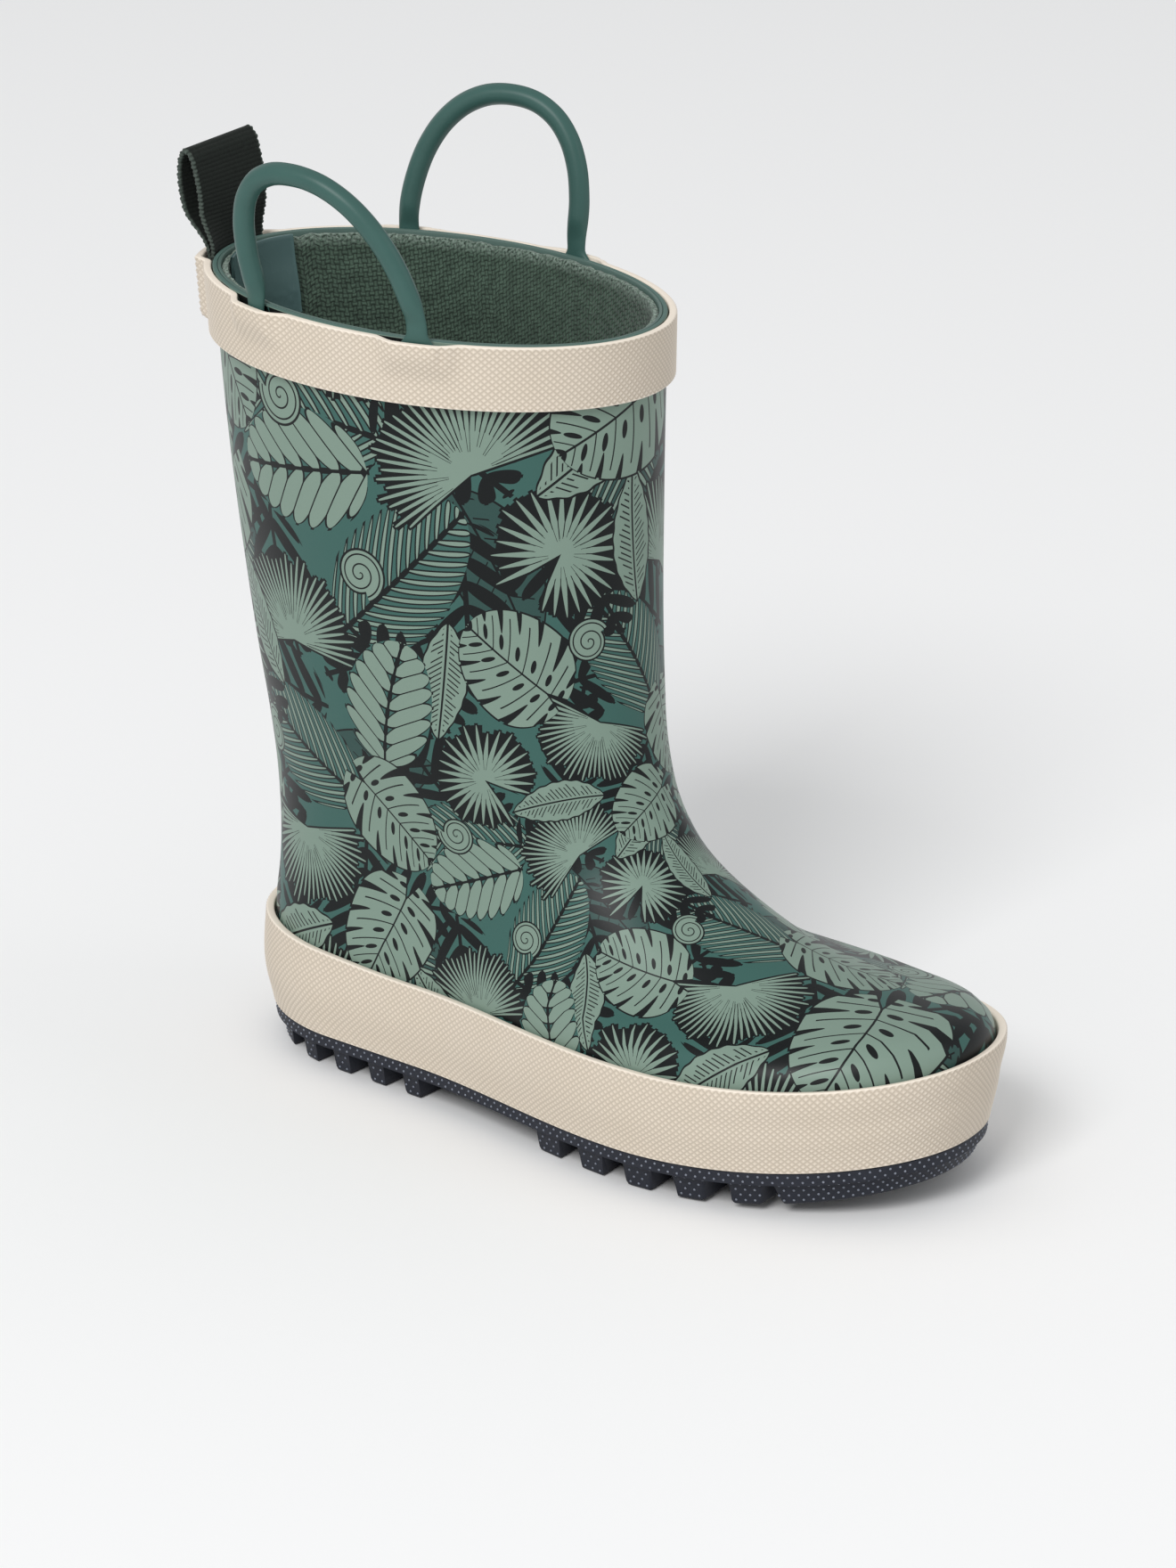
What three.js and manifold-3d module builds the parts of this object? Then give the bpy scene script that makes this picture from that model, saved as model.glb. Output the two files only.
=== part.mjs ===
// A child's rubber rain boot for the right foot, in millimetres. +Z is up, the toe points
// along -Y, and the outer side of the foot is -X. The origin is on the floor, on the tread's
// spine under the middle of the heel.
import * as THREE from 'three';
import { mergeVertices } from 'three/addons/utils/BufferGeometryUtils.js';
import Module from 'manifold-3d';

const wasm = await Module();
wasm.setup();

// ---- Driving dimensions -------------------------------------------------------------------
const soleLength = 180.5;
const heelBack = 27.5;
const heelWidth = 56;
const ballWidth = 72;
const bootHeight = 178.5;
const instepHeight = 95;
const ankleLength = 99;
const ankleWidth = 67;
const topLength = 101;
const topWidth = 80;
const topBack = 35.5;
const topTurn = 12;
const rimRise = 7;
const toeSpring = 5.5;
const toeSwing = 5;
const ballShare = 0.62;
const waistShare = 0.2;

// ---- Thicknesses and fits -------------------------------------------------------------------
const gap = 0.3;
const upperThick = 1.8;
const stiffenerThick = 0.8;
const liningThick = 0.8;
const foxingThick = 1.8;
const bandThick = 1.6;
const lugDepth = 6;
const plateThick = 2.6;
const fillerThick = 3;
const boardThick = 1.5;
const foamThick = 3.5;
const coverThick = 0.8;
const bandHeight = 14.5;
const rimStripHeight = 8;
const rimStripShown = 3.5;
const foxingHeight = { heel: 22, waist: 19.5, toe: 19 };
const cordRadius = 2.5;
const tapeThick = 1.2;
const tapeWidth = 20;

// ---- Heights of the layers above the floor --------------------------------------------------
const plateTop = lugDepth + plateThick;
const upperFoot = plateTop + gap;
const fillerFoot = plateTop + gap;
const boardFoot = fillerFoot + fillerThick + gap;
const foamFoot = boardFoot + boardThick + gap;
const coverFoot = foamFoot + foamThick + gap;
const liningFoot = foamFoot;
const bandFoot = bootHeight - bandHeight;

// ---- Layers of the wall, measured outwards from the upper's outer face ----------------------
const stiffenerOut = -upperThick - gap;
const stiffenerIn = stiffenerOut - stiffenerThick;
const liningOut = stiffenerIn - gap;
const liningIn = liningOut - liningThick;
const foxingIn = gap + 0.15;
const foxingOut = foxingIn + foxingThick;

const mix = THREE.MathUtils.lerp;
const ease = THREE.MathUtils.smoothstep;

// ---- The boot's outer shape -----------------------------------------------------------------
// Level cuts through the upper, from the feather edge to the rim. back and front are where a cut
// starts and ends along Y; heelHalf, outer and inner are its half-widths at heel and ball; the
// three caps are the lengths over which its ends are rounded.
const toeEnd = heelBack - soleLength;
const ballLine = toeEnd * ballShare;
const waistLine = toeEnd * waistShare;
const ankleBack = heelBack + 2.5;
const shinFront = ankleBack - ankleLength;
const featherTuck = 1.6;
const vampFoot = upperFoot + 22.5;
const footLevel = (share) => mix(vampFoot, instepHeight, share);

// A cut through the foot. Its back is at one share of the way from the vamp's foot to the
// instep and its front at another; reach is how far its front has come from toe to shin.
function footCut({ back, front, reach, tuck, heel, ball, caps }) {
  const level = footLevel(back);
  return {
    level, back: heelBack - tuck, front: mix(toeEnd, shinFront, reach),
    rise: level - footLevel(front),
    heelHalf: heelWidth / 2 * heel, outer: ballWidth / 2 * ball, inner: ballWidth / 2 * ball,
    heelCap: caps[0], outerCap: caps[1], innerCap: caps[2],
    swing: mix(toeSwing, 0, Math.min(1, reach * 1.5)), turn: 0,
  };
}

// The walls of the foot under the vamp are near upright, and tuck in at the feather edge.
function soleCut(level, tuck) {
  const cut = footCut({
    back: 0, front: 0, reach: 0.01, tuck, heel: 1, ball: 1, caps: [31, 58, 42],
  });
  return {
    ...cut, level, front: cut.front + tuck, heelHalf: cut.heelHalf - tuck,
    outer: cut.outer - tuck, inner: cut.inner - tuck,
  };
}

// A cut through the leg is an ellipse, turned outwards as a leg's is over its foot.
function legCut(level, back, length, width, turn, rise) {
  return {
    level, back, front: back - length, rise, heelHalf: width / 2, outer: width / 2,
    inner: width / 2, heelCap: length / 2, outerCap: length / 2, innerCap: length / 2,
    swing: 0, turn,
  };
}

const cuts = [
  soleCut(upperFoot, featherTuck),
  soleCut(upperFoot + 10, 0),
  soleCut(vampFoot, 0.5),
  footCut({ back: 0.04, front: 0.05, reach: 0.05, tuck: 0.6, heel: 0.98, ball: 0.97, caps: [31, 70, 55] }),
  footCut({ back: 0.09, front: 0.08, reach: 0.13, tuck: 0.8, heel: 0.96, ball: 0.94, caps: [31, 90, 80] }),
  footCut({ back: 0.16, front: 0.155, reach: 0.36, tuck: 1.2, heel: 0.94, ball: 0.91, caps: [31, 100, 95] }),
  footCut({ back: 0.25, front: 0.255, reach: 0.56, tuck: 1.5, heel: 0.93, ball: 0.88, caps: [31, 88, 86] }),
  footCut({ back: 0.38, front: 0.39, reach: 0.76, tuck: 1.6, heel: 0.95, ball: 0.86, caps: [32, 72, 72] }),
  footCut({ back: 0.55, front: 0.55, reach: 0.89, tuck: 0.8, heel: 1, ball: 0.86, caps: [36, 58, 58] }),
  footCut({ back: 0.75, front: 0.75, reach: 0.96, tuck: -0.8, heel: 1.1, ball: 0.89, caps: [42, 50, 50] }),
  legCut(instepHeight, ankleBack, ankleLength, ankleWidth, topTurn * 0.3, 0),
  legCut(mix(instepHeight, bootHeight, 0.5), mix(ankleBack, topBack, 0.65),
    mix(ankleLength, topLength, 0.5), mix(ankleWidth, topWidth, 0.55), topTurn * 0.7, rimRise * 0.5),
  legCut(bootHeight, topBack, topLength, topWidth, topTurn, rimRise),
];
const fields = Object.keys(cuts[0]).filter((name) => name !== 'level');
const cutCurve = new THREE.CubicInterpolant(
  cuts.map((cut) => cut.level),
  cuts.flatMap((cut) => fields.map((name) => cut[name])),
  fields.length,
);

function cutAt(level) {
  const row = cutCurve.evaluate(level);
  return Object.fromEntries(fields.map((name, i) => [name, row[i]]));
}

// How far a cut's half-width has grown, at a distance from its end, over a rounded cap.
function roundEnd(distance, cap) {
  const left = Math.max(0, 1 - distance / cap);
  return Math.sqrt(Math.max(0, 1 - left * left));
}

// The sole curls up towards the toe, and everything above it with it.
function lift(y) {
  const past = Math.max(0, ballLine - y) / (ballLine - toeEnd);
  return toeSpring * past * past;
}

// A point of the outer face. The angle is 0 at the back and runs over the outer side to the toe.
function facePoint(level, angle) {
  const cut = cutAt(level);
  const share = (1 - Math.cos(angle)) / 2;
  const y = mix(cut.back, cut.front, share);
  const outerSide = Math.sin(angle) >= 0;
  const ball = outerSide ? cut.outer : cut.inner;
  const toeCap = outerSide ? cut.outerCap : cut.innerCap;
  const wide = mix(cut.heelHalf, ball, ease(-y, -waistLine, -ballLine));
  const half = wide * roundEnd(cut.back - y, cut.heelCap) * roundEnd(y - cut.front, toeCap);
  const x = (outerSide ? -half : half) + cut.swing * ease(-y, -waistLine, -toeEnd);
  const middle = (cut.back + cut.front) / 2;
  const turned = new THREE.Vector2(x, y - middle).rotateAround(new THREE.Vector2(),
    THREE.MathUtils.degToRad(cut.turn));
  const z = level - cut.rise * share;
  return new THREE.Vector3(turned.x, turned.y + middle, z);
}

// ---- The grid that every layer shares -------------------------------------------------------
const columns = 56;
const levels = [
  upperFoot, upperFoot + 4, upperFoot + 8, upperFoot + 15, vampFoot,
  ...[0.045, 0.1, 0.17, 0.25, 0.36, 0.5, 0.65, 0.82].map(footLevel),
  ...[0, 0.25, 0.5].map((k) => mix(instepHeight, bootHeight, k)),
  bandFoot, bootHeight,
];

// Below this height the layers stack sideways only, so that they all stand on the outsole.
const soleLine = upperFoot + 5;

function faceNormal(level, angle) {
  const step = 0.01;
  const low = Math.max(level - 1, levels[0]);
  const high = Math.min(level + 1, bootHeight);
  const along = facePoint(level, angle + step).sub(facePoint(level, angle - step));
  const up = facePoint(high, angle).sub(facePoint(low, angle));
  const out = along.cross(up).normalize();
  return level < soleLine ? out.setZ(0).normalize() : out;
}

const columnAngle = (column) => 2 * Math.PI * column / columns;
const face = levels.map((level) => Array.from({ length: columns }, (_, c) => ({
  at: facePoint(level, columnAngle(c)),
  out: faceNormal(level, columnAngle(c)),
})));

// A point a given distance outside the upper's outer face, on the shared grid.
function skinPoint(level, column, offset) {
  const c = (column + columns) % columns;
  const above = Math.min(levels.length - 1, Math.max(1, levels.findIndex((z) => z >= level)));
  const share = (level - levels[above - 1]) / (levels[above] - levels[above - 1]);
  const low = face[above - 1][c];
  const high = face[above][c];
  const from = low.at.clone().addScaledVector(low.out, offset);
  const to = high.at.clone().addScaledVector(high.out, offset);
  const point = from.lerp(to, share);
  return point.setZ(point.z + lift(point.y));
}

// ---- Building solids --------------------------------------------------------------------------
function solid(points, triangles) {
  const geometry = new THREE.BufferGeometry();
  geometry.setAttribute('position',
    new THREE.Float32BufferAttribute(points.flatMap((p) => [p.x, p.y, p.z]), 3));
  geometry.setIndex(triangles.flat());
  return geometry;
}

// A sheet of even or changing thickness that follows the boot's wall between two columns, or all
// round it. rowLevels gives the levels at a column, and the offsets are distances or functions.
function wallSheet({ first = 0, last = columns, rowLevels, inside, outside }) {
  const closed = last - first === columns;
  const count = closed ? columns : last - first + 1;
  const rows = rowLevels(first).length;
  const value = (offset, column, level) => (
    typeof offset === 'function' ? offset(column, level) : offset);
  const points = [];
  for (const offset of [outside, inside]) {
    for (let r = 0; r < rows; r += 1) {
      for (let c = 0; c < count; c += 1) {
        const level = rowLevels(first + c)[r];
        points.push(skinPoint(level, first + c, value(offset, first + c, level)));
      }
    }
  }
  const outer = (r, c) => r * count + (c % count);
  const inner = (r, c) => (rows + r) * count + (c % count);
  const triangles = [];
  const quad = (a, b, c, d) => triangles.push([a, b, c], [a, c, d]);
  const spans = closed ? count : count - 1;
  for (let c = 0; c < spans; c += 1) {
    for (let r = 0; r < rows - 1; r += 1) {
      quad(outer(r, c), outer(r, c + 1), outer(r + 1, c + 1), outer(r + 1, c));
      quad(inner(r, c), inner(r + 1, c), inner(r + 1, c + 1), inner(r, c + 1));
    }
    quad(outer(rows - 1, c), outer(rows - 1, c + 1), inner(rows - 1, c + 1), inner(rows - 1, c));
    quad(inner(0, c), inner(0, c + 1), outer(0, c + 1), outer(0, c));
  }
  if (!closed) {
    for (let r = 0; r < rows - 1; r += 1) {
      quad(inner(r, 0), outer(r, 0), outer(r + 1, 0), inner(r + 1, 0));
      quad(outer(r, spans), inner(r, spans), inner(r + 1, spans), outer(r + 1, spans));
    }
  }
  return solid(points, triangles);
}

// The shared levels between two heights, with the two heights themselves.
function levelsBetween(low, high) {
  const inside = levels.filter((level) => level > low + 0.5 && level < high - 0.5);
  return [low, ...inside, high];
}

// A flat layer of the sole, in strips across the foot so that it bends up at the toe.
function soleLayer({ low, high, outlineLevel, offset, from = Infinity, to = -Infinity }) {
  const half = columns / 2;
  const rim = [];
  for (let c = 0; c <= half; c += 1) {
    const a = skinPoint(outlineLevel, c, offset);
    const b = skinPoint(outlineLevel, columns - c, offset);
    if (a.y <= from && a.y >= to) {
      rim.push([a, b]);
    }
  }
  const across = rim.length;
  const points = [];
  for (const height of [low, high]) {
    for (const pair of rim) {
      for (const end of pair) {
        points.push(new THREE.Vector3(end.x, end.y, height + lift(end.y)));
      }
    }
  }
  const at = (layer, i, side) => layer * across * 2 + i * 2 + side;
  const triangles = [];
  const quad = (a, b, c, d) => triangles.push([a, b, c], [a, c, d]);
  for (let i = 0; i < across - 1; i += 1) {
    quad(at(1, i, 0), at(1, i + 1, 0), at(1, i + 1, 1), at(1, i, 1));
    quad(at(0, i, 1), at(0, i + 1, 1), at(0, i + 1, 0), at(0, i, 0));
    quad(at(0, i, 0), at(0, i + 1, 0), at(1, i + 1, 0), at(1, i, 0));
    quad(at(0, i + 1, 1), at(0, i, 1), at(1, i, 1), at(1, i + 1, 1));
  }
  quad(at(0, 0, 1), at(0, 0, 0), at(1, 0, 0), at(1, 0, 1));
  quad(at(0, across - 1, 0), at(0, across - 1, 1), at(1, across - 1, 1), at(1, across - 1, 0));
  return clean(solid(points, triangles));
}

// Drops the zero-width triangles where a layer comes to a point.
function clean(geometry) {
  const merged = mergeVertices(geometry, 1e-4);
  const index = merged.getIndex().array;
  const kept = [];
  for (let i = 0; i < index.length; i += 3) {
    const [a, b, c] = index.slice(i, i + 3);
    if (a !== b && b !== c && c !== a) {
      kept.push(a, b, c);
    }
  }
  merged.setIndex(kept);
  return merged;
}

function toManifold(geometry) {
  const bare = geometry.clone();
  bare.deleteAttribute('normal');
  bare.deleteAttribute('uv');
  const merged = mergeVertices(bare, 1e-4);
  return new wasm.Manifold(new wasm.Mesh({
    numProp: 3,
    vertProperties: new Float32Array(merged.getAttribute('position').array),
    triVerts: new Uint32Array(merged.getIndex().array),
  }));
}

function fromManifold(body) {
  const mesh = body.getMesh();
  const geometry = new THREE.BufferGeometry();
  geometry.setAttribute('position', new THREE.Float32BufferAttribute(mesh.vertProperties, 3));
  geometry.setIndex(Array.from(mesh.triVerts));
  return geometry;
}

const boot = new THREE.Group();

function place(name, geometry, color, roughness) {
  const material = new THREE.MeshStandardMaterial({ color, roughness, metalness: 0 });
  const mesh = new THREE.Mesh(geometry, material);
  mesh.name = name;
  boot.add(mesh);
  return mesh;
}

const colours = {
  print: 0x4f7a70, cream: 0xd8ccbc, navy: 0x23262f, lining: 0x3c4b41, tape: 0x1f2d26,
  cord: 0x4a6f67, foam: 0x8b8f8c, board: 0xb39b7a, filler: 0x55504b, canvas: 0x9a9484,
};

// ---- Upper and what backs it ------------------------------------------------------------------
// The printed sheet is one piece; it is parted at the ankle so that each part is a simple shell.
place('upper_foot', wallSheet({
  rowLevels: () => levelsBetween(upperFoot, instepHeight), inside: -upperThick, outside: 0,
}), colours.print, 0.35);
place('upper_leg', wallSheet({
  rowLevels: () => levelsBetween(instepHeight + gap, bootHeight), inside: -upperThick, outside: 0,
}), colours.print, 0.35);

const liningTop = bootHeight - rimStripShown;
place('canvas_lining', wallSheet({
  rowLevels: () => levelsBetween(liningFoot, liningTop), inside: liningIn, outside: liningOut,
}), colours.lining, 0.95);

const rimStripFoot = bootHeight - rimStripHeight;
place('rim_strip', wallSheet({
  rowLevels: () => levelsBetween(rimStripFoot, bootHeight),
  inside: stiffenerIn, outside: stiffenerOut,
}), colours.cord, 0.5);

const counterTop = footLevel(0.45);
const counterReach = 10;
place('heel_counter', wallSheet({
  first: -counterReach, last: counterReach,
  rowLevels: () => levelsBetween(foamFoot, counterTop),
  inside: stiffenerIn, outside: stiffenerOut,
}), colours.canvas, 0.8);

const puffTop = footLevel(0.14);
const puffReach = 10;
place('toe_puff', wallSheet({
  first: columns / 2 - puffReach, last: columns / 2 + puffReach,
  rowLevels: () => levelsBetween(foamFoot, puffTop),
  inside: stiffenerIn, outside: stiffenerOut,
}), colours.canvas, 0.8);

place('back_seam_tape', wallSheet({
  first: -2, last: 2,
  rowLevels: () => levelsBetween(counterTop + 2, rimStripFoot - 1),
  inside: stiffenerIn, outside: stiffenerOut,
}), colours.canvas, 0.8);

// The rubber patch that covers the tape's ends inside the rim.
const patchDeep = 16;
place('back_patch', wallSheet({
  first: -3, last: 3,
  rowLevels: () => levelsBetween(bootHeight - patchDeep, bootHeight),
  inside: liningIn - gap - stiffenerThick, outside: liningIn - gap,
}), colours.cord, 0.4);

// ---- Sole ---------------------------------------------------------------------------------------
function foxingTop(column) {
  const y = skinPoint(vampFoot, column, 0).y;
  const back = mix(foxingHeight.heel, foxingHeight.waist, ease(-y, -heelBack, -waistLine));
  return plateTop + mix(back, foxingHeight.toe, ease(-y, -ballLine, -toeEnd));
}

place('foxing_strip', wallSheet({
  rowLevels: (column) => [...levels.slice(0, 4), foxingTop(column)],
  inside: foxingIn, outside: foxingOut,
}), colours.cream, 0.7);

const heelPitch = 10.3;
const forefootPitch = 12.5;
const grooveWide = 3.2;
const barDraft = 1.3;
const heelBars = 4;
const forefootBars = 5;
const chevron = 7;
const toeBevel = 2.5;
const spineHalf = 4;
const archWide = 31;
const heelTreadLong = 61.5;
const tipStart = heelBack + foxingOut;
const heelEnd = tipStart - heelTreadLong;
const forefootStart = heelEnd - archWide;

// A bar of the tread, narrower at the floor than at its root, swept forwards by an angle.
function treadBar(left, right, start, end, sweep = 0) {
  const top = lugDepth + 1;
  const profile = new THREE.Shape([
    new THREE.Vector2(start, top),
    new THREE.Vector2(end, top),
    new THREE.Vector2(end + barDraft, 0),
    new THREE.Vector2(start - barDraft, 0),
  ]);
  const geometry = new THREE.ExtrudeGeometry(profile, { depth: right - left, bevelEnabled: false });
  geometry.applyMatrix4(new THREE.Matrix4().makeBasis(
    new THREE.Vector3(0, 1, 0), new THREE.Vector3(0, 0, 1), new THREE.Vector3(1, 0, 0),
  ));
  const middle = (start + end) / 2;
  geometry.translate(left, -middle, 0);
  geometry.rotateZ(THREE.MathUtils.degToRad(sweep));
  geometry.translate(0, middle, 0);
  const position = geometry.getAttribute('position');
  for (let i = 0; i < position.count; i += 1) {
    const rise = lift(position.getY(i));
    const bevel = position.getZ(i) > 0 ? 0 : toeBevel * rise / toeSpring;
    position.setZ(i, position.getZ(i) + rise + bevel);
  }
  return toManifold(geometry);
}

const bars = [];
for (let k = 0; k < heelBars; k += 1) {
  const end = heelEnd + k * heelPitch;
  bars.push(treadBar(-ballWidth, ballWidth, end + heelPitch - grooveWide, end));
}
bars.push(treadBar(-ballWidth, ballWidth, tipStart + barDraft, heelEnd + heelBars * heelPitch));
bars.push(treadBar(-spineHalf, spineHalf, tipStart - 2 * grooveWide, heelEnd));
for (let k = 0; k < forefootBars; k += 1) {
  const start = forefootStart - k * forefootPitch;
  const end = start - forefootPitch + grooveWide;
  bars.push(treadBar(-ballWidth, -grooveWide / 2, start, end, chevron));
  bars.push(treadBar(grooveWide / 2, ballWidth, start, end, -chevron));
}
const blockStart = forefootStart - forefootBars * forefootPitch;
const blockPieces = 4;
const blockEnd = toeEnd - foxingOut - barDraft;
const blockStep = (blockEnd - blockStart) / blockPieces;
for (let k = 0; k < blockPieces; k += 1) {
  const start = blockStart + k * blockStep + (k > 0 ? 2 * barDraft : 0);
  bars.push(treadBar(-ballWidth, ballWidth, start, blockStart + (k + 1) * blockStep));
}

const treadBlank = toManifold(soleLayer({
  low: -1, high: lugDepth + 1, outlineLevel: upperFoot, offset: foxingOut - 1.2,
}));
const plate = toManifold(soleLayer({
  low: lugDepth, high: plateTop, outlineLevel: upperFoot, offset: foxingOut - 0.4,
}));
const tread = bars.reduce((sum, bar) => sum.add(bar)).intersect(treadBlank);
place('outsole', fromManifold(plate.add(tread)), colours.navy, 0.75);

const insideUpper = -upperThick - 3 * gap;
const fillerSplit = (heelEnd + forefootStart) / 2;
place('heel_filler', soleLayer({
  low: fillerFoot, high: fillerFoot + fillerThick, outlineLevel: fillerFoot, offset: insideUpper,
  to: fillerSplit,
}), colours.filler, 0.9);
place('forefoot_filler', soleLayer({
  low: fillerFoot, high: fillerFoot + fillerThick, outlineLevel: fillerFoot, offset: insideUpper,
  from: fillerSplit,
}), colours.filler, 0.9);
place('insole_board', soleLayer({
  low: boardFoot, high: boardFoot + boardThick, outlineLevel: boardFoot, offset: insideUpper,
}), colours.board, 0.85);
const insideLining = liningIn - 2 * gap;
place('footbed_foam', soleLayer({
  low: foamFoot, high: foamFoot + foamThick, outlineLevel: foamFoot, offset: insideLining,
}), colours.foam, 0.9);
place('footbed_cover', soleLayer({
  low: coverFoot, high: coverFoot + coverThick, outlineLevel: foamFoot, offset: insideLining,
}), colours.lining, 0.95);

// ---- Ends tucked under the top band ---------------------------------------------------------------
const handleColumns = { outer: [10, 17], inner: [47, 40] };
const tuckThick = 2.3;
const tuckFoot = bandFoot + 2;
const tuckHalf = 1;
const tapeHalf = 2;
const tucks = [
  ...handleColumns.outer.map((column, i) => ({ name: `handle_outer_end_${i + 1}`, column })),
  ...handleColumns.inner.map((column, i) => ({ name: `handle_inner_end_${i + 1}`, column })),
].map((tuck) => ({ ...tuck, half: tuckHalf }));
tucks.push({ name: 'pull_loop_ends', column: 0, half: tapeHalf });

for (const tuck of tucks) {
  const color = tuck.column === 0 ? colours.tape : colours.cord;
  place(tuck.name, wallSheet({
    first: tuck.column - tuck.half, last: tuck.column + tuck.half,
    rowLevels: () => [tuckFoot, bootHeight - 2 * gap],
    inside: gap, outside: gap + tuckThick,
  }), color, 0.6);
}

// How far the band stands off the upper: it hugs it, and rides over each tucked end.
function bandRide(column, level) {
  const away = Math.min(...tucks.map((tuck) => {
    const turn = Math.abs(((column - tuck.column + columns * 1.5) % columns) - columns / 2);
    return turn - tuck.half;
  }));
  const over = 1 - ease(away, 1, 3);
  const down = ease(level, bandFoot, tuckFoot - 1);
  return gap + (tuckThick + gap) * over * down;
}

place('top_band', wallSheet({
  rowLevels: () => [bandFoot, tuckFoot - 1, bootHeight],
  inside: bandRide, outside: (column, level) => bandRide(column, level) + bandThick,
}), colours.cream, 0.7);

// ---- Handles and pull loop -------------------------------------------------------------------------
const handleHeight = { outer: 29.5, inner: 30 };
const handleSteps = 22;
const handleLean = { outer: [-6, 5.5], inner: [6, -1] };
const handleSquare = { along: 0.9, up: 0.85 };
const routePoints = 12;

for (const [side, pair] of Object.entries(handleColumns)) {
  const [start, end] = pair.map((column) => {
    const foot = skinPoint(bootHeight, column, gap + tuckThick / 2);
    foot.z += cordRadius + gap;
    return foot;
  });
  const middle = start.clone().add(end).multiplyScalar(0.5);
  const reach = start.clone().sub(middle);
  const lean = new THREE.Vector3(...handleLean[side], 0);
  const top = new THREE.Vector3(0, 0, handleHeight[side]);
  const route = Array.from({ length: routePoints + 1 }, (_, i) => {
    const turn = Math.PI * i / routePoints;
    const along = Math.sign(Math.cos(turn)) * Math.abs(Math.cos(turn)) ** handleSquare.along;
    return middle.clone()
      .addScaledVector(reach, along)
      .addScaledVector(top, Math.sin(turn) ** handleSquare.up)
      .addScaledVector(lean, Math.sin(turn));
  });
  const section = new THREE.Shape().absarc(0, 0, cordRadius, 0, 2 * Math.PI, false);
  const cord = toManifold(new THREE.ExtrudeGeometry(section, {
    extrudePath: new THREE.CatmullRomCurve3(route), steps: handleSteps, curveSegments: 5,
    bevelEnabled: false,
  }));
  const knobs = [start, end].map((point) => {
    const knob = new THREE.SphereGeometry(cordRadius, 10, 6);
    knob.translate(point.x, point.y, point.z);
    return toManifold(knob);
  });
  place(`handle_${side}`, fromManifold(cord.add(knobs[0]).add(knobs[1])), colours.cord, 0.45);
}

const loopHeight = 22;
const loopHalf = 3.8;
const loopLean = 8;
const loopFoot = skinPoint(bootHeight, 0, gap + tuckThick / 2);
loopFoot.z += 4 * gap;
const loopShape = new THREE.Shape().absellipse(0, loopHeight / 2, loopHalf, loopHeight / 2,
  0, 2 * Math.PI);
loopShape.holes.push(new THREE.Path().absellipse(0, loopHeight / 2 + tapeThick / 2,
  loopHalf - tapeThick, loopHeight / 2 - 1.5 * tapeThick, 0, 2 * Math.PI));
const loopGeometry = new THREE.ExtrudeGeometry(loopShape, {
  depth: tapeWidth, curveSegments: 14, bevelEnabled: false,
});
loopGeometry.translate(0, 0, -tapeWidth / 2);
loopGeometry.applyMatrix4(new THREE.Matrix4().makeBasis(
  new THREE.Vector3(0, 1, 0), new THREE.Vector3(0, 0, 1), new THREE.Vector3(1, 0, 0),
));
const pullLoop = place('pull_loop', loopGeometry, colours.tape, 0.85);
pullLoop.rotation.x = -THREE.MathUtils.degToRad(loopLean);
pullLoop.position.copy(loopFoot);

export default boot;
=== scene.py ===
# A child's rubber rain boot for the right foot: a printed leg on a navy tread, with cream
# textured trim, two rubber cord handles, a webbing pull loop and a canvas lining.
import math
import bmesh
import bpy
import numpy as np
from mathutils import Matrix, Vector


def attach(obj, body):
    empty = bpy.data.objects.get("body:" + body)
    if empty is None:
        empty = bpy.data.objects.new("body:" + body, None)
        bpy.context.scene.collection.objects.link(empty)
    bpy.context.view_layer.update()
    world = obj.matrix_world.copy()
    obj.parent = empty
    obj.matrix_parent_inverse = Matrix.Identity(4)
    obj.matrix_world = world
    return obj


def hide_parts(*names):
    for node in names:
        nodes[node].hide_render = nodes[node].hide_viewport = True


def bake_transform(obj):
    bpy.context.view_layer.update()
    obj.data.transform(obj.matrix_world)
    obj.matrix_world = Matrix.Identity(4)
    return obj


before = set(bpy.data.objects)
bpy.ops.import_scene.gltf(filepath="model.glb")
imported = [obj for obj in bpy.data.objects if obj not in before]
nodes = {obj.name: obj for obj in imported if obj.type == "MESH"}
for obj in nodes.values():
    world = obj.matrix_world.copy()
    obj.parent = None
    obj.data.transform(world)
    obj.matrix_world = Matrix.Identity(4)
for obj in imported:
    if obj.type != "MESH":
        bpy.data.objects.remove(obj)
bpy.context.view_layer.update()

MM = 0.001

# ---- Studio ------------------------------------------------------------------------------------
# A pale floor under soft light from a large sky and one broad lamp, and a long lens that looks
# down on the boot from the front of its outer side.


def linear(text):
    """An sRGB hex colour as linear RGBA."""
    parts = [int(text[i:i + 2], 16) / 255 for i in (1, 3, 5)]
    return [c / 12.92 if c <= 0.04045 else ((c + 0.055) / 1.055) ** 2.4 for c in parts] + [1.0]


def add(tree, kind, *values, **settings):
    """Adds a node, sets it up, links or fills its inputs in order, and returns its output."""
    kind, _, operation = kind.partition(" ")
    node = tree.nodes.new("ShaderNode" + kind)
    if operation:
        node.operation = operation
    for name, value in settings.items():
        if hasattr(node, name):
            setattr(node, name, value)
    inputs = [s for s in node.inputs if s.enabled]
    named = {s.name: s for s in inputs}
    pairs = list(zip(inputs, values))
    pairs += [(named[k.replace("_", " ")], v) for k, v in settings.items() if not hasattr(node, k)]
    for socket, value in pairs:
        if isinstance(value, bpy.types.NodeSocket):
            tree.links.new(value, socket)
        elif value is not None:
            socket.default_value = value
    return next(s for s in node.outputs if s.enabled)


def new_finish(name):
    """A new material, with its node tree and its shader."""
    material = bpy.data.materials.new(name)
    material.use_nodes = True
    return material, material.node_tree, material.node_tree.nodes["Principled BSDF"]


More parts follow.
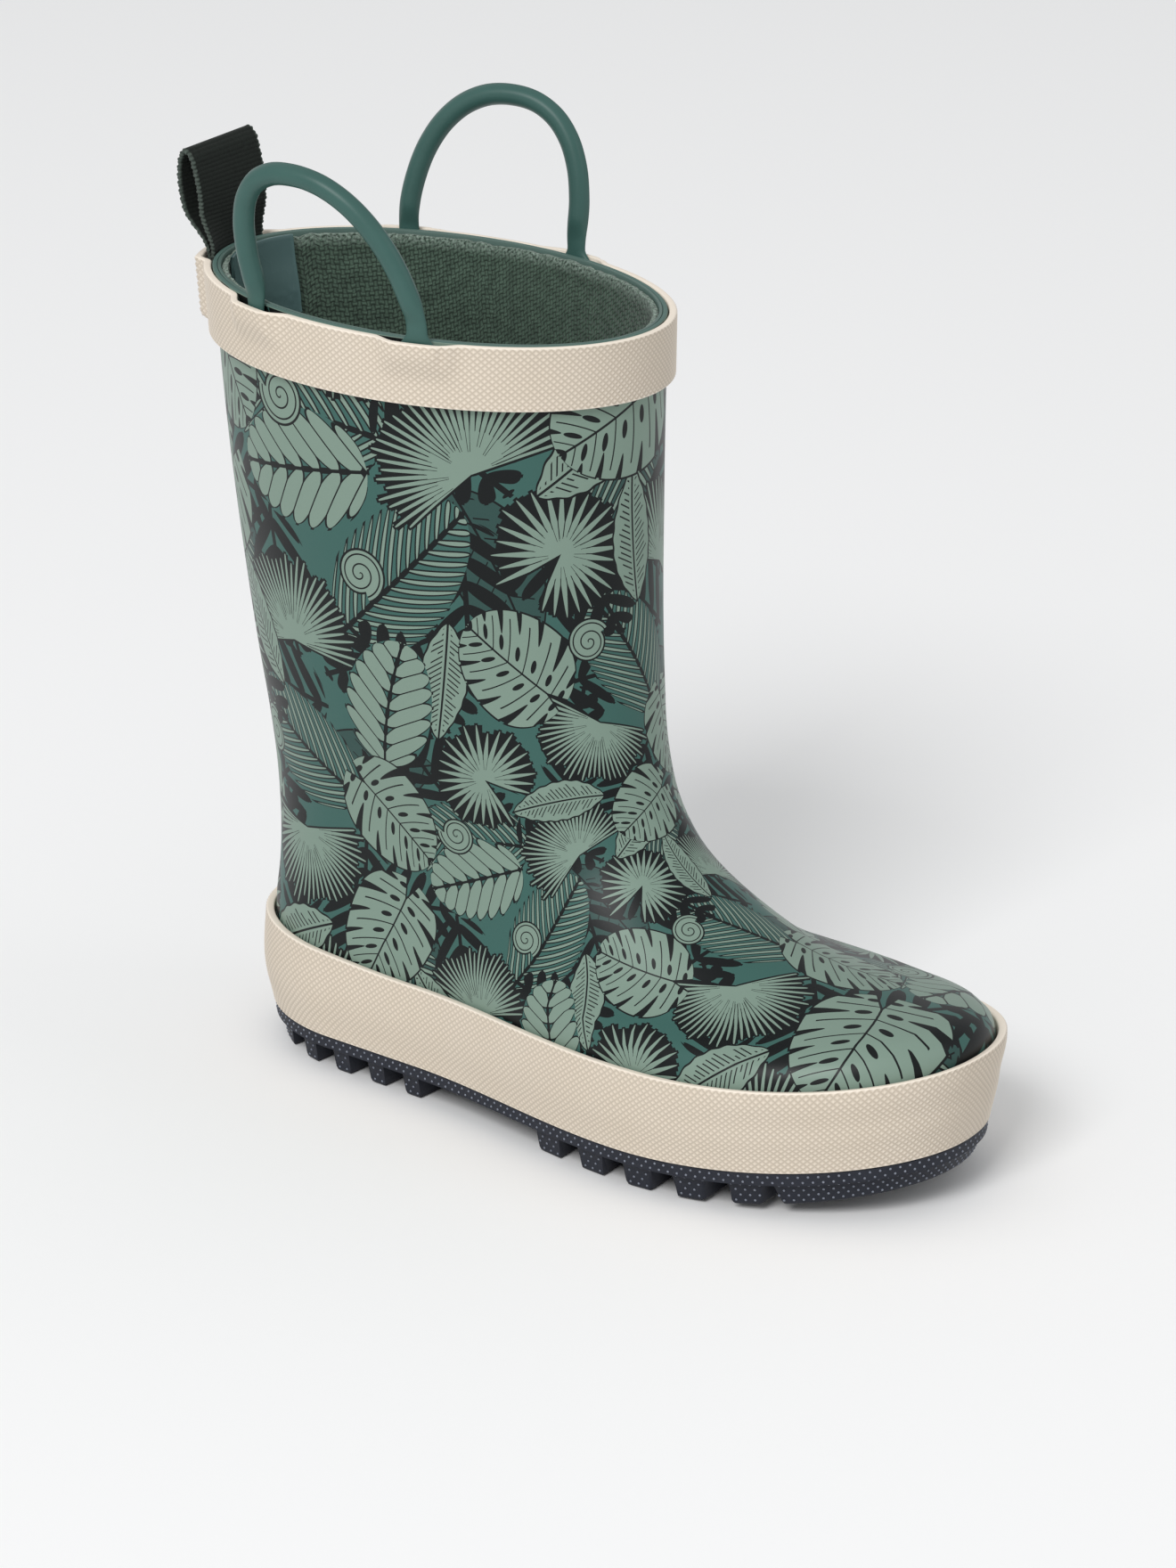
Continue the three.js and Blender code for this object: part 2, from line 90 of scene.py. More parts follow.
target = Vector((0, -0.0562, 0.0721))
distance = 1.04
azimuth = math.radians(-50)
elevation = math.radians(20)
back = Vector((math.sin(azimuth) * math.cos(elevation), -math.cos(azimuth) * math.cos(elevation),
               math.sin(elevation)))
camera_data = bpy.data.cameras.new("camera")
camera_data.lens = 111.7
camera = bpy.data.objects.new("camera", camera_data)
camera.location = target + back * distance
camera.rotation_euler = (-back).to_track_quat("-Z", "Y").to_euler()
bpy.context.collection.objects.link(camera)
bpy.context.scene.camera = camera

world = bpy.data.worlds.new("studio")
world.use_nodes = True
world.node_tree.nodes["Background"].inputs["Color"].default_value = linear("#f7f8f9")
world.node_tree.nodes["Background"].inputs["Strength"].default_value = 0.68
bpy.context.scene.world = world
bpy.context.scene.view_settings.view_transform = "Standard"


def lamp(name, place, size, power):
    data = bpy.data.lights.new(name, "AREA")
    data.size = size
    data.energy = power
    obj = bpy.data.objects.new(name, data)
    obj.location = place
    obj.rotation_euler = (target - Vector(place)).to_track_quat("-Z", "Y").to_euler()
    bpy.context.collection.objects.link(obj)


lamp("broad_lamp", (-3.5, -1.0, 3.2), 1.9, 132)
lamp("side_lamp", (1.2, -3.0, 1.8), 1.2, 6)

bpy.ops.mesh.primitive_plane_add(size=30)
floor = bpy.context.object
floor.name = "floor"
paint, _, shader = new_finish("painted studio floor")
shader.inputs["Base Color"].default_value = linear("#f4f4f4")
shader.inputs["Roughness"].default_value = 0.9
shader.inputs["Specular IOR Level"].default_value = 0.1
floor.data.materials.append(paint)

# ---- Printed upper -----------------------------------------------------------------------------
# One sheet of calendered rubber, printed with leaves and wrapped round the last, its edges meeting
# up the back. Its outer face is a row of level cuts through the foot and leg, joined smoothly.
sole_length = 180.5
heel_back = 27.5
heel_width = 56.0
ball_width = 72.0
rim = 178.5
instep = 95.0
ankle_length = 99.0
ankle_width = 67.0
top_length = 101.0
top_width = 80.0
top_back = 35.5
top_turn = 12.0
rim_rise = 7.0
toe_spring = 5.5
toe_swing = 5.0
upper_thick = 1.8
upper_foot = 8.9
vamp_foot = upper_foot + 22.5
toe_end = heel_back - sole_length
ball_line = toe_end * 0.62
waist_line = toe_end * 0.2
ankle_back = heel_back + 2.5
shin_front = ankle_back - ankle_length


def mix(a, b, share):
    return a + (b - a) * share


def ease(value, low, high):
    share = np.clip((value - low) / (high - low), 0, 1)
    return share * share * (3 - 2 * share)


def foot_level(share):
    return mix(vamp_foot, instep, share)


def foot_cut(back, front, reach, tuck, heel, ball, caps):
    """Level, back, front, rise, half-widths at heel and ball, three end caps, swing and turn."""
    level = foot_level(back)
    return [level, heel_back - tuck, mix(toe_end, shin_front, reach), level - foot_level(front),
            heel_width / 2 * heel, ball_width / 2 * ball, *caps,
            mix(toe_swing, 0, min(1, reach * 1.5)), 0.0]


def sole_cut(level, tuck):
    cut = foot_cut(0, 0, 0.01, tuck, 1, 1, [31, 58, 42])
    return [level, cut[1], cut[2] + tuck, 0.0, cut[4] - tuck, cut[5] - tuck, *cut[6:]]


def leg_cut(share, back, length, width):
    return [mix(instep, rim, share), back, back - length, rim_rise * share, width / 2, width / 2,
            length / 2, length / 2, length / 2, 0.0, top_turn * mix(0.3, 1, share)]


cuts = np.array([
    sole_cut(upper_foot, 1.6),
    sole_cut(upper_foot + 10, 0),
    sole_cut(vamp_foot, 0.5),
    foot_cut(0.04, 0.05, 0.05, 0.6, 0.98, 0.97, [31, 70, 55]),
    foot_cut(0.09, 0.08, 0.13, 0.8, 0.96, 0.94, [31, 90, 80]),
    foot_cut(0.16, 0.155, 0.36, 1.2, 0.94, 0.91, [31, 100, 95]),
    foot_cut(0.25, 0.255, 0.56, 1.5, 0.93, 0.88, [31, 88, 86]),
    foot_cut(0.38, 0.39, 0.76, 1.6, 0.95, 0.86, [32, 72, 72]),
    foot_cut(0.55, 0.55, 0.89, 0.8, 1.0, 0.86, [36, 58, 58]),
    foot_cut(0.75, 0.75, 0.96, -0.8, 1.1, 0.89, [42, 50, 50]),
    leg_cut(0, ankle_back, ankle_length, ankle_width),
    leg_cut(0.5, mix(ankle_back, top_back, 0.65), mix(ankle_length, top_length, 0.5),
            mix(ankle_width, top_width, 0.55)),
    leg_cut(1, top_back, top_length, top_width),
])


def cut_at(level):
    """The cut at any level, on a smooth curve through the given ones."""
    heights = cuts[:, 0]
    last = len(heights) - 1
    i = np.clip(np.searchsorted(heights, level, side="right"), 1, last)
    before = np.where(i == 1, i, i - 2)
    after = np.where(i == last, i - 1, i + 1)
    low = heights[i - 1]
    high = heights[i]
    p = (level - low) / (high - low)
    p2 = p * p
    p3 = p2 * p
    wide_low = (high - low) / 2 / (low - heights[before])
    wide_high = (high - low) / 2 / (heights[after] - high)
    shares = [
        -wide_low * p3 + 2 * wide_low * p2 - wide_low * p,
        (1 + wide_low) * p3 + (-1.5 - 2 * wide_low) * p2 + (wide_low - 0.5) * p + 1,
        (-1 - wide_high) * p3 + (1.5 + wide_high) * p2 + 0.5 * p,
        wide_high * p3 - wide_high * p2,
    ]
    rows = [before, i - 1, i, after]
    return np.moveaxis(sum(s[..., None] * cuts[r, 1:] for s, r in zip(shares, rows)), -1, 0)


def round_end(distance, cap):
    left = np.clip(1 - distance / cap, 0, None)
    return np.sqrt(np.clip(1 - left * left, 0, None))


def outer_face(level, angle):
    """A point of the outer face: 0 is the back, and the angle runs over the outer side."""
    level, angle = np.broadcast_arrays(level, angle)
    back, front, rise, heel, ball, heel_cap, outer_cap, inner_cap, swing, turn = cut_at(level)
    share = (1 - np.cos(angle)) / 2
    y = mix(back, front, share)
    outer_side = np.sin(angle) >= 0
    cap = np.where(outer_side, outer_cap, inner_cap)
    half = mix(heel, ball, ease(-y, -waist_line, -ball_line))
    half = half * round_end(back - y, heel_cap) * round_end(y - front, cap)
    x = np.where(outer_side, -half, half) + swing * ease(-y, -waist_line, -toe_end)
    middle = (back + front) / 2
    turn = np.radians(turn)
    along = y - middle
    return np.stack([x * np.cos(turn) - along * np.sin(turn),
                     x * np.sin(turn) + along * np.cos(turn) + middle,
                     level - rise * share], -1)


def lift(y):
    """The sole curls up towards the toe, and all above it too."""
    return toe_spring * (np.clip(ball_line - y, 0, None) / (ball_line - toe_end)) ** 2


def skin(level, angle, offset):
    """A point some millimetres outside the outer face."""
    step = 0.01
    high = np.minimum(level + 1, rim)
    low = np.maximum(level - 1, upper_foot)
    along = outer_face(level, angle + step) - outer_face(level, angle - step)
    out = np.cross(along, outer_face(high, angle) - outer_face(low, angle))
    out[..., 2] *= ease(level, upper_foot + 4, upper_foot + 8)
    out /= np.linalg.norm(out, axis=-1, keepdims=True)
    point = outer_face(level, angle) + out * np.asarray(offset, float)[..., None]
    point[..., 2] += lift(point[..., 1])
    return point


def even_angles(count, level, offset=0.0):
    """Angles that lie evenly round the boot at one level."""
    fine = np.linspace(0, 2 * math.pi, 1441)
    line = skin(np.full(fine.shape, level), fine, np.full(fine.shape, offset))
    run = np.concatenate([[0], np.cumsum(np.linalg.norm(np.diff(line, axis=0), axis=1))])
    return np.interp(np.arange(count) / count * run[-1], run, fine), run[-1]


def section(low, high, inner, outer, rows, inner_rows=8, corner=0.4):
    """Levels and offsets once round a strip's section, from its lower outer edge upwards."""
    low, high, inner, outer = np.broadcast_arrays(*[np.atleast_1d(v) for v in (
        low, high, inner, outer)])
    loop = [(mix(low + corner, high - corner, f), outer) for f in np.linspace(0, 1, rows)]
    turn = np.radians((30, 60, 90))
    loop += [(high + corner * (math.sin(a) - 1), outer + corner * (math.cos(a) - 1)) for a in turn]
    loop += [(high + corner * (math.sin(a) - 1), inner - corner * (math.cos(a) - 1))
             for a in turn[::-1]]
    loop += [(mix(high - corner, low + corner, f), inner) for f in np.linspace(0, 1, inner_rows)]
    loop += [(low - corner * (math.sin(a) - 1), inner - corner * (math.cos(a) - 1)) for a in turn]
    loop += [(low - corner * (math.sin(a) - 1), outer + corner * (math.cos(a) - 1))
             for a in turn[::-1]]
    levels = np.array([a for a, _ in loop])
    offsets = np.array([b for _, b in loop], float)
    return levels, offsets


def make_piece(name, points, faces, material, body="boot"):
    """A smooth mesh piece in metres, riding on a body."""
    data = bpy.data.meshes.new(name)
    data.from_pydata((np.asarray(points).reshape(-1, 3) * MM).tolist(), [], faces)
    data.shade_smooth()
    if material is not None:
        data.materials.append(material)
    piece = bpy.data.objects.new(name, data)
    bpy.context.collection.objects.link(piece)
    if body:
        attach(piece, body)
    return piece


def sweep(name, angles, levels, offsets, material, closed=True, body="boot"):
    """A strip's section swept round the boot, with a map of its face in millimetres."""
    levels, offsets = np.broadcast_arrays(levels, offsets)
    if levels.shape[1] == 1:
        levels = np.repeat(levels, len(angles), 1)
        offsets = np.repeat(offsets, len(angles), 1)
    points = skin(levels, np.broadcast_to(angles, levels.shape), offsets)
    rows, columns = levels.shape
    index = np.arange(rows * columns).reshape(rows, columns)
    grid = points
    if closed:
        index = np.hstack([index, index[:, :1]])
        grid = np.concatenate([points, points[:, :1]], 1)
    corners = np.stack([index[:, :-1], index[:, 1:], np.roll(index, -1, 0)[:, 1:],
                        np.roll(index, -1, 0)[:, :-1]], -1)
    faces = corners.reshape(-1, 4).tolist()
    if not closed:
        faces += [index[::-1, 0].tolist(), index[:, -1].tolist()]
    piece = make_piece(name, points, faces, material, body)
    across = np.linalg.norm(np.diff(grid, axis=1), axis=2).mean(0)
    u = np.concatenate([[0], np.cumsum(across)])
    up = np.linalg.norm(np.diff(np.concatenate([grid, grid[:1]]), axis=0), axis=2)
    v = np.concatenate([np.zeros((1, grid.shape[1])), np.cumsum(up, 0)])
    u = np.broadcast_to(u, v.shape)
    uv = np.stack([u, v], -1)
    loops = np.stack([uv[:-1, :-1], uv[:-1, 1:], uv[1:, 1:], uv[1:, :-1]], -2).reshape(-1, 2)
    layer = piece.data.uv_layers.new(name="Surface")
    full = np.zeros((len(piece.data.loops), 2))
    full[:len(loops)] = loops
    layer.data.foreach_set("uv", full.ravel())
    return piece


# The artwork is drawn flat, in millimetres, and repeats every 88 mm; it is printed at 116%. Each
# kind of leaf is one group, which gives where its ink outline and its pale body lie.
repeat = 88.0
print_scale = 1.16
line = 0.42


def leaf_group(name, sizes):
    """A new leaf group with a place in millimetres and its own sizes as inputs."""
    tree = bpy.data.node_groups.new(name, "ShaderNodeTree")
    tree.interface.new_socket("Place", in_out="INPUT", socket_type="NodeSocketVector")
    for size in sizes:
        tree.interface.new_socket(size, in_out="INPUT", socket_type="NodeSocketFloat")
    for result in ("Hull", "Ink", "Body"):
        tree.interface.new_socket(result, in_out="OUTPUT", socket_type="NodeSocketFloat")
    inputs = tree.nodes.new("NodeGroupInput").outputs
    return tree, inputs


def finish_leaf(tree, inside, veins, hull):
    """The hull hides what grows behind; ink reaches one line outside the leaf, and its body
    stops at each vein."""
    end = tree.nodes.new("NodeGroupOutput")
    tree.links.new(add(tree, "Math GREATER_THAN", hull, 0.0), end.inputs["Hull"])
    tree.links.new(add(tree, "Math GREATER_THAN", inside, -line), end.inputs["Ink"])
    body = add(tree, "Math GREATER_THAN", inside, 0.0)
    tree.links.new(add(tree, "Math SUBTRACT", body, veins, use_clamp=True), end.inputs["Body"])


def bent_stem(tree, inputs):
    """How far along the leaf a place is, as a share, and how far to the side of its rib."""
    parts = add(tree, "SeparateXYZ", inputs["Place"]).node.outputs
    share = add(tree, "Math DIVIDE", parts["Y"], inputs["Length"])
    square = add(tree, "Math MULTIPLY", share, share)
    bend = add(tree, "Math MULTIPLY", square, inputs["Bend"])
    side = add(tree, "Math ABSOLUTE", add(tree, "Math SUBTRACT", parts["X"], bend))
    half = add(tree, "Math MULTIPLY", inputs["Length"], 0.5)
    middle = add(tree, "Math ABSOLUTE", add(tree, "Math SUBTRACT", parts["Y"], half))
    ends = add(tree, "Math SUBTRACT", half, middle)
    return parts["Y"], share, side, ends


def oval(tree, share, wide, peak, power):
    """A leaf's half-width, widest at one share of its length and nothing at both ends."""
    past = add(tree, "Math GREATER_THAN", share, peak)
    reach = add(tree, "Math MULTIPLY_ADD", past, 1 - 2 * peak, peak)
    away = add(tree, "Math DIVIDE", add(tree, "Math SUBTRACT", share, peak), reach)
    left = add(tree, "Math MULTIPLY_ADD", add(tree, "Math MULTIPLY", away, -1.0), away, 1.0)
    kept = add(tree, "Math MAXIMUM", left, 0.0)
    return add(tree, "Math MULTIPLY", add(tree, "Math POWER", kept, power), wide)


def stripe(tree, along, side, slant, pitch):
    """The distance to the nearest of the lines that slant off the rib, and that line's number."""
    run = add(tree, "Math DIVIDE", add(tree, "Math MULTIPLY_ADD", side, slant, along), pitch)
    part = add(tree, "Math SUBTRACT", add(tree, "Math FRACT", run), 0.5)
    near = add(tree, "Math MULTIPLY", add(tree, "Math ABSOLUTE", part), pitch)
    return near, add(tree, "Math FLOOR", run)


# A long leaf with a wavy edge and short hatched ribs.
blade, blade_in = leaf_group("long leaf", ["Length", "Width", "Bend", "Ribs", "Wave"])
y, share, side, ends = bent_stem(blade, blade_in)
wide = oval(blade, share, blade_in["Width"], 0.46, 0.85)
wave = add(blade, "Math MULTIPLY", add(blade, "Math SINE", add(blade, "Math MULTIPLY", y, 1.9)),
           blade_in["Wave"])
edge = add(blade, "Math SUBTRACT", add(blade, "Math ADD", wide, wave), side)
inside = add(blade, "Math MINIMUM", edge, ends)
near, number = stripe(blade, y, side, -0.7, blade_in["Ribs"])
chance = add(blade, "TexWhiteNoise", noise_dimensions="1D", W=number)
reach = add(blade, "Math MULTIPLY_ADD", chance, 0.45, 0.42)
shown = add(blade, "Math LESS_THAN", side, add(blade, "Math MULTIPLY", wide, reach))
start = add(blade, "Math GREATER_THAN", side, 0.7)
ribs = add(blade, "Math MULTIPLY", add(blade, "Math LESS_THAN", near, 0.16),
           add(blade, "Math MULTIPLY", shown, start))
rib = add(blade, "Math LESS_THAN", side, 0.22)
finish_leaf(blade, inside, add(blade, "Math MAXIMUM", ribs, rib), inside)

# A broad heart-shaped leaf: clefts run in from its edge, with a vein on each lobe and a row of
# small holes beside the rib.
split, split_in = leaf_group("split leaf", ["Length", "Width", "Bend", "Lobes"])
y, share, side, ends = bent_stem(split, split_in)
wide = oval(split, share, split_in["Width"], 0.4, 0.5)
edge = add(split, "Math SUBTRACT", wide, side)
down = add(split, "Math MULTIPLY", y, -1.0)
below = add(split, "Math MULTIPLY_ADD", split_in["Length"], 0.2, down)
notch = add(split, "Math MULTIPLY_ADD", below, -0.35, side)
slant = add(split, "Math MULTIPLY_ADD", share, -1.0, 0.05)
near, number = stripe(split, y, side, slant, split_in["Lobes"])
out = add(split, "Math DIVIDE", side, add(split, "Math MAXIMUM", wide, 0.01))
chance = add(split, "TexWhiteNoise", noise_dimensions="1D", W=number)
begins = add(split, "Math MULTIPLY_ADD", chance, 0.22, 0.4)
past = add(split, "Math MAXIMUM", add(split, "Math SUBTRACT", out, begins), 0.0)
open_by = add(split, "Math MULTIPLY", add(split, "Math POWER", past, 0.5), 0.85)
cleft = add(split, "Math SUBTRACT", near, open_by)
inside = add(split, "Math MINIMUM", add(split, "Math MINIMUM", edge, notch),
             add(split, "Math MINIMUM", cleft, ends))
spot = add(split, "Math MULTIPLY", add(split, "Math SUBTRACT", out, 0.24),
           add(split, "Math MULTIPLY", wide, 0.75))
tall = add(split, "Math MULTIPLY", near, 1.8)
hole = add(split, "Math LESS_THAN", add(split, "Math MULTIPLY_ADD", spot, spot,
           add(split, "Math MULTIPLY", tall, tall)), 1.0)
lobe = add(split, "Math SUBTRACT", add(split, "Math MULTIPLY", split_in["Lobes"], 0.5), near)
vein = add(split, "Math MULTIPLY", add(split, "Math LESS_THAN", lobe, 0.13),
           add(split, "Math LESS_THAN", out, 0.8))
rib = add(split, "Math LESS_THAN", side, 0.2)
finish_leaf(split, inside, add(split, "Math MAXIMUM", add(split, "Math MAXIMUM", vein, rib), hole),
            add(split, "Math MINIMUM", edge, notch))

# A palm leaf: narrow leaflets round one point, joined at the core, each free from its own start.
fan, fan_in = leaf_group("palm leaf", ["Radius", "Density", "Spread", "Core", "Leaflet", "Taper"])
parts = add(fan, "SeparateXYZ", fan_in["Place"]).node.outputs
r = add(fan, "VectorMath LENGTH", fan_in["Place"]).node.outputs["Value"]
turn = add(fan, "Math ARCTAN2", parts["X"], parts["Y"])
run = add(fan, "Math MULTIPLY", turn, fan_in["Density"])
part = add(fan, "Math ABSOLUTE", add(fan, "Math SUBTRACT", add(fan, "Math FRACT", run), 0.5))
arc = add(fan, "Math DIVIDE", r, fan_in["Density"])
near = add(fan, "Math MULTIPLY", part, arc)
chance = add(fan, "TexWhiteNoise", noise_dimensions="1D", W=add(fan, "Math FLOOR", run))
tip = add(fan, "Math MULTIPLY", add(fan, "Math MULTIPLY_ADD", chance, 0.16, 0.84), fan_in["Radius"])
other = add(fan, "Math FRACT", add(fan, "Math MULTIPLY", chance, 7.3))
start = add(fan, "Math MULTIPLY", add(fan, "Math MULTIPLY_ADD", other, 1.3, 1.0), fan_in["Core"])
gap = add(fan, "Math MULTIPLY_ADD", add(fan, "Math GREATER_THAN", r, start), 0.12, -0.03)
left = add(fan, "Math SUBTRACT", 1.0, add(fan, "Math DIVIDE", r, tip))
left = add(fan, "Math MAXIMUM", left, 0.0)
widest = add(fan, "Math MULTIPLY", add(fan, "Math POWER", left, fan_in["Taper"]), fan_in["Leaflet"])
half = add(fan, "Math MINIMUM", widest, add(fan, "Math MULTIPLY_ADD", arc, 0.5,
           add(fan, "Math MULTIPLY", gap, -1.0)))
past = add(fan, "Math SUBTRACT", tip, r)
span = add(fan, "Math MULTIPLY", add(fan, "Math SUBTRACT", fan_in["Spread"],
           add(fan, "Math ABSOLUTE", turn)), r)
inside = add(fan, "Math MINIMUM", add(fan, "Math MINIMUM", add(fan, "Math SUBTRACT", half, near),
             past), span)
finish_leaf(fan, inside, 0.0, add(fan, "Math MINIMUM", past, span))

# A feathered frond: leaflets in two rows along a bent rib, curving forwards.
frond, frond_in = leaf_group("feathered frond", ["Length", "Width", "Bend", "Pitch", "Leaflet",
                                                 "Slant", "Curve"])
y, share, side, ends = bent_stem(frond, frond_in)
wide = oval(frond, share, frond_in["Width"], 0.42, 0.5)
bow = add(frond, "Math MULTIPLY", add(frond, "Math MULTIPLY", side, side), frond_in["Curve"])
near, number = stripe(frond, add(frond, "Math SUBTRACT", y, bow), side,
                      add(frond, "Math MULTIPLY", frond_in["Slant"], -1.0), frond_in["Pitch"])
out = add(frond, "Math DIVIDE", side, add(frond, "Math MAXIMUM", wide, 0.01))
hump = add(frond, "Math MULTIPLY", out, add(frond, "Math SUBTRACT", 1.0, out))
shape = add(frond, "Math POWER", add(frond, "Math MAXIMUM", hump, 0.0), 0.55)
half = add(frond, "Math MINIMUM", add(frond, "Math MULTIPLY", shape, frond_in["Leaflet"]),
           add(frond, "Math MULTIPLY_ADD", frond_in["Pitch"], 0.5, -0.16))
leaflet = add(frond, "Math SUBTRACT", half, near)
stem = add(frond, "Math SUBTRACT", 0.1, side)
ends = add(frond, "Math MINIMUM", ends, add(frond, "Math SUBTRACT", wide, side))
inside = add(frond, "Math MINIMUM", add(frond, "Math MAXIMUM", leaflet, stem), ends)
finish_leaf(frond, inside, add(frond, "Math LESS_THAN", side, 0.3),
            ends)

# A young frond, still coiled.
coil, coil_in = leaf_group("coiled frond", ["Turns", "Pitch"])
parts = add(coil, "SeparateXYZ", coil_in["Place"]).node.outputs
r = add(coil, "VectorMath LENGTH", coil_in["Place"]).node.outputs["Value"]
turn = add(coil, "Math DIVIDE", add(coil, "Math ARCTAN2", parts["X"], parts["Y"]), 2 * math.pi)
run = add(coil, "Math SUBTRACT", add(coil, "Math DIVIDE", r, coil_in["Pitch"]), turn)
inside = add(coil, "Math MULTIPLY", add(coil, "Math SUBTRACT", coil_in["Turns"], run),
             coil_in["Pitch"])
part = add(coil, "Math FRACT", add(coil, "Math ADD", run, 0.5))
gap = add(coil, "Math MULTIPLY", add(coil, "Math ABSOLUTE", add(coil, "Math SUBTRACT", part, 0.5)),
          coil_in["Pitch"])
finish_leaf(coil, inside, add(coil, "Math LESS_THAN", gap, 0.15), inside)

print_teal = "#385c56"
print_sage = "#778b7f"
print_ink = "#0e1213"
print_deep = "#2d4844"
# Group, sizes, colour, the colour between its leaflets, and where each one grows: across, up and
# its turn in degrees. The lowest come first.
layers = [
    (blade, (36, 8, 4, 4.0, 0), print_deep, None, [(30, 18, 80), (72, 44, -30), (52, 70, 200)]),
    (frond, (30, 9.5, 3, 4.6, 2.7, 0.7, 0.01), print_ink, None,
     [(30, 8, 15), (54, 26, -80), (88, 8, 140), (10, 36, 60), (72, 34, -15), (52, 64, 175),
      (28, 70, -20), (76, 86, -110), (2, 62, 35), (44, 44, 100)]),
    (frond, (34, 11, -5, 2.6, 1.05, 0.9, 0.03), print_sage, print_teal,
     [(4.6, 16.7, 25), (23, 48.8, -70), (43.6, 79, 60)]),
    (frond, (31, 10, 5, 2.6, 1.05, 0.9, 0.03), print_sage, print_deep, [(80, 88, -165)]),
    (frond, (26, 9, -3, 4.8, 2.9, 0.8, 0.01), print_ink, None,
     [(60, 2, -30), (24, 34, -100), (84, 52, 80), (46, 88, -150), (14, 72, 160), (70, 60, -160),
      (36, 26, 20), (2, 8, -60)]),
    (fan, (17.0, 9.5, 1.75, 3.6, 0.42, 0.25), print_sage, print_ink,
     [(73, 16.2, 150), (8, 49.4, -20), (56, 71.4, 20)]),
    (fan, (13.5, 4.6, 2.8, 2.4, 0.8, 0.55), print_sage, print_ink, [(41, 11, 30), (69, 55, -50)]),
    (blade, (25, 4.9, 2.5, 1.15, 0.1), print_sage, None, [(86.2, 42.7, 10), (45.3, 45.7, 160)]),
    (blade, (25, 5.2, -2.5, 1.15, 0.14), print_sage, None, [(66, 66, -62), (69, 85, 75)]),
    (frond, (28, 10, 1, 3.9, 4.6, 0.75, 0.0), print_sage, print_teal,
     [(18, 21.5, -35), (38.8, 74.6, 80)]),
    (split, (27, 11.5, 2, 4.0), print_sage, print_ink,
     [(7.4, 23.7, 200), (64.7, 22.7, 40), (6.7, 83.8, 120)]),
    (coil, (2.4, 1.75), print_sage, None, [(31, 58, 0), (73, 36, 120), (26, 1, 240)]),
]


def calendered_rubber(name, colour, tint, roughness, coat=0.0):
    """Smooth rubber sheet: an even satin face whose gloss breaks up a little."""
    material, tree, shader = new_finish(name)
    place = add(tree, "TexCoord").node.outputs["Object"]
    cloudy = add(tree, "TexNoise", Vector=place, Scale=90.0, Detail=3.0)
    fine = add(tree, "TexNoise", Vector=place, Scale=1400.0, Detail=2.0)
    if colour is not None:
        shade = add(tree, "Mix", cloudy, linear(colour), linear(tint), data_type="RGBA")
        tree.links.new(shade, shader.inputs["Base Color"])
    gloss = add(tree, "Math MULTIPLY_ADD", cloudy, 0.12, roughness - 0.06)
    tree.links.new(gloss, shader.inputs["Roughness"])
    bump = add(tree, "Bump", Height=fine, Strength=0.12, Distance=0.0001)
    tree.links.new(bump, shader.inputs["Normal"])
    shader.inputs["Specular IOR Level"].default_value = 0.16
    shader.inputs["Coat Weight"].default_value = coat
    shader.inputs["Coat Roughness"].default_value = 0.3
    return material


printed = calendered_rubber("printed calendered rubber, satin", None, None, 0.4, 0.08)
tree = printed.node_tree
flat = add(tree, "VectorMath SCALE", add(tree, "UVMap", uv_map="Print"), Scale=1 / print_scale)
colour = add(tree, "RGB")
colour.default_value = linear(print_teal)
for group, sizes, leaf_colour, between, places in layers:
    for across, up, turn in places:
        near = [across - repeat / 2, up - repeat / 2, -1]
        far = [across + repeat / 2, up + repeat / 2, 1]
        wrapped = add(tree, "VectorMath WRAP", flat, far, near)
        place = add(tree, "Mapping", wrapped, (across, up, 0), (0, 0, math.radians(turn)),
                    vector_type="TEXTURE")
        leaf = tree.nodes.new("ShaderNodeGroup")
        leaf.node_tree = group
        tree.links.new(place, leaf.inputs["Place"])
        for socket, size in zip(list(leaf.inputs)[1:], sizes):
            socket.default_value = size
        if between:
            colour = add(tree, "Mix", leaf.outputs["Hull"], colour, linear(between),
                         data_type="RGBA")
        colour = add(tree, "Mix", leaf.outputs["Ink"], colour, linear(print_ink),
                     data_type="RGBA")
        colour = add(tree, "Mix", leaf.outputs["Body"], colour, linear(leaf_colour),
                     data_type="RGBA")
tree.links.new(colour, tree.nodes["Principled BSDF"].inputs["Base Color"])

skived_by = 0.75


def thinned_edge(levels):
    """How much nearer the outer face everything inside lies, where the sheet is skived thin."""
    return skived_by * ease(levels, rim - 14, rim - 4)


upper_angles, _ = even_angles(176, 60)
upper_rows = 74
levels, offsets = section(upper_foot, rim, -upper_thick, 0.0, upper_rows, 24, 0.3)
offsets += (offsets < -upper_thick / 2) * thinned_edge(levels)
upper = sweep("upper_print", upper_angles, levels, offsets, printed)

# The flat pattern of the sheet, laid out with its cut up the back, so that the print keeps its
# size and isn't sheared over the vamp.
sheet_levels = levels[:upper_rows, 0]
sheet_angles = np.append(upper_angles, 2 * math.pi)
grid_level, grid_angle = np.meshgrid(sheet_levels, sheet_angles, indexing="ij")
sheet_points = skin(grid_level, grid_angle, np.zeros(grid_level.shape))
rows, columns = grid_level.shape
index = np.arange(rows * columns).reshape(rows, columns)
quads = np.stack([index[:-1, :-1], index[:-1, 1:], index[1:, 1:], index[1:, :-1]], -1)
pattern = make_piece("flat_pattern", sheet_points, quads.reshape(-1, 4).tolist(), None, None)
bpy.context.view_layer.objects.active = pattern
pattern.select_set(True)
bpy.ops.object.mode_set(mode="EDIT")
bpy.ops.mesh.select_all(action="SELECT")
bpy.ops.uv.unwrap(method="ANGLE_BASED", margin=0)
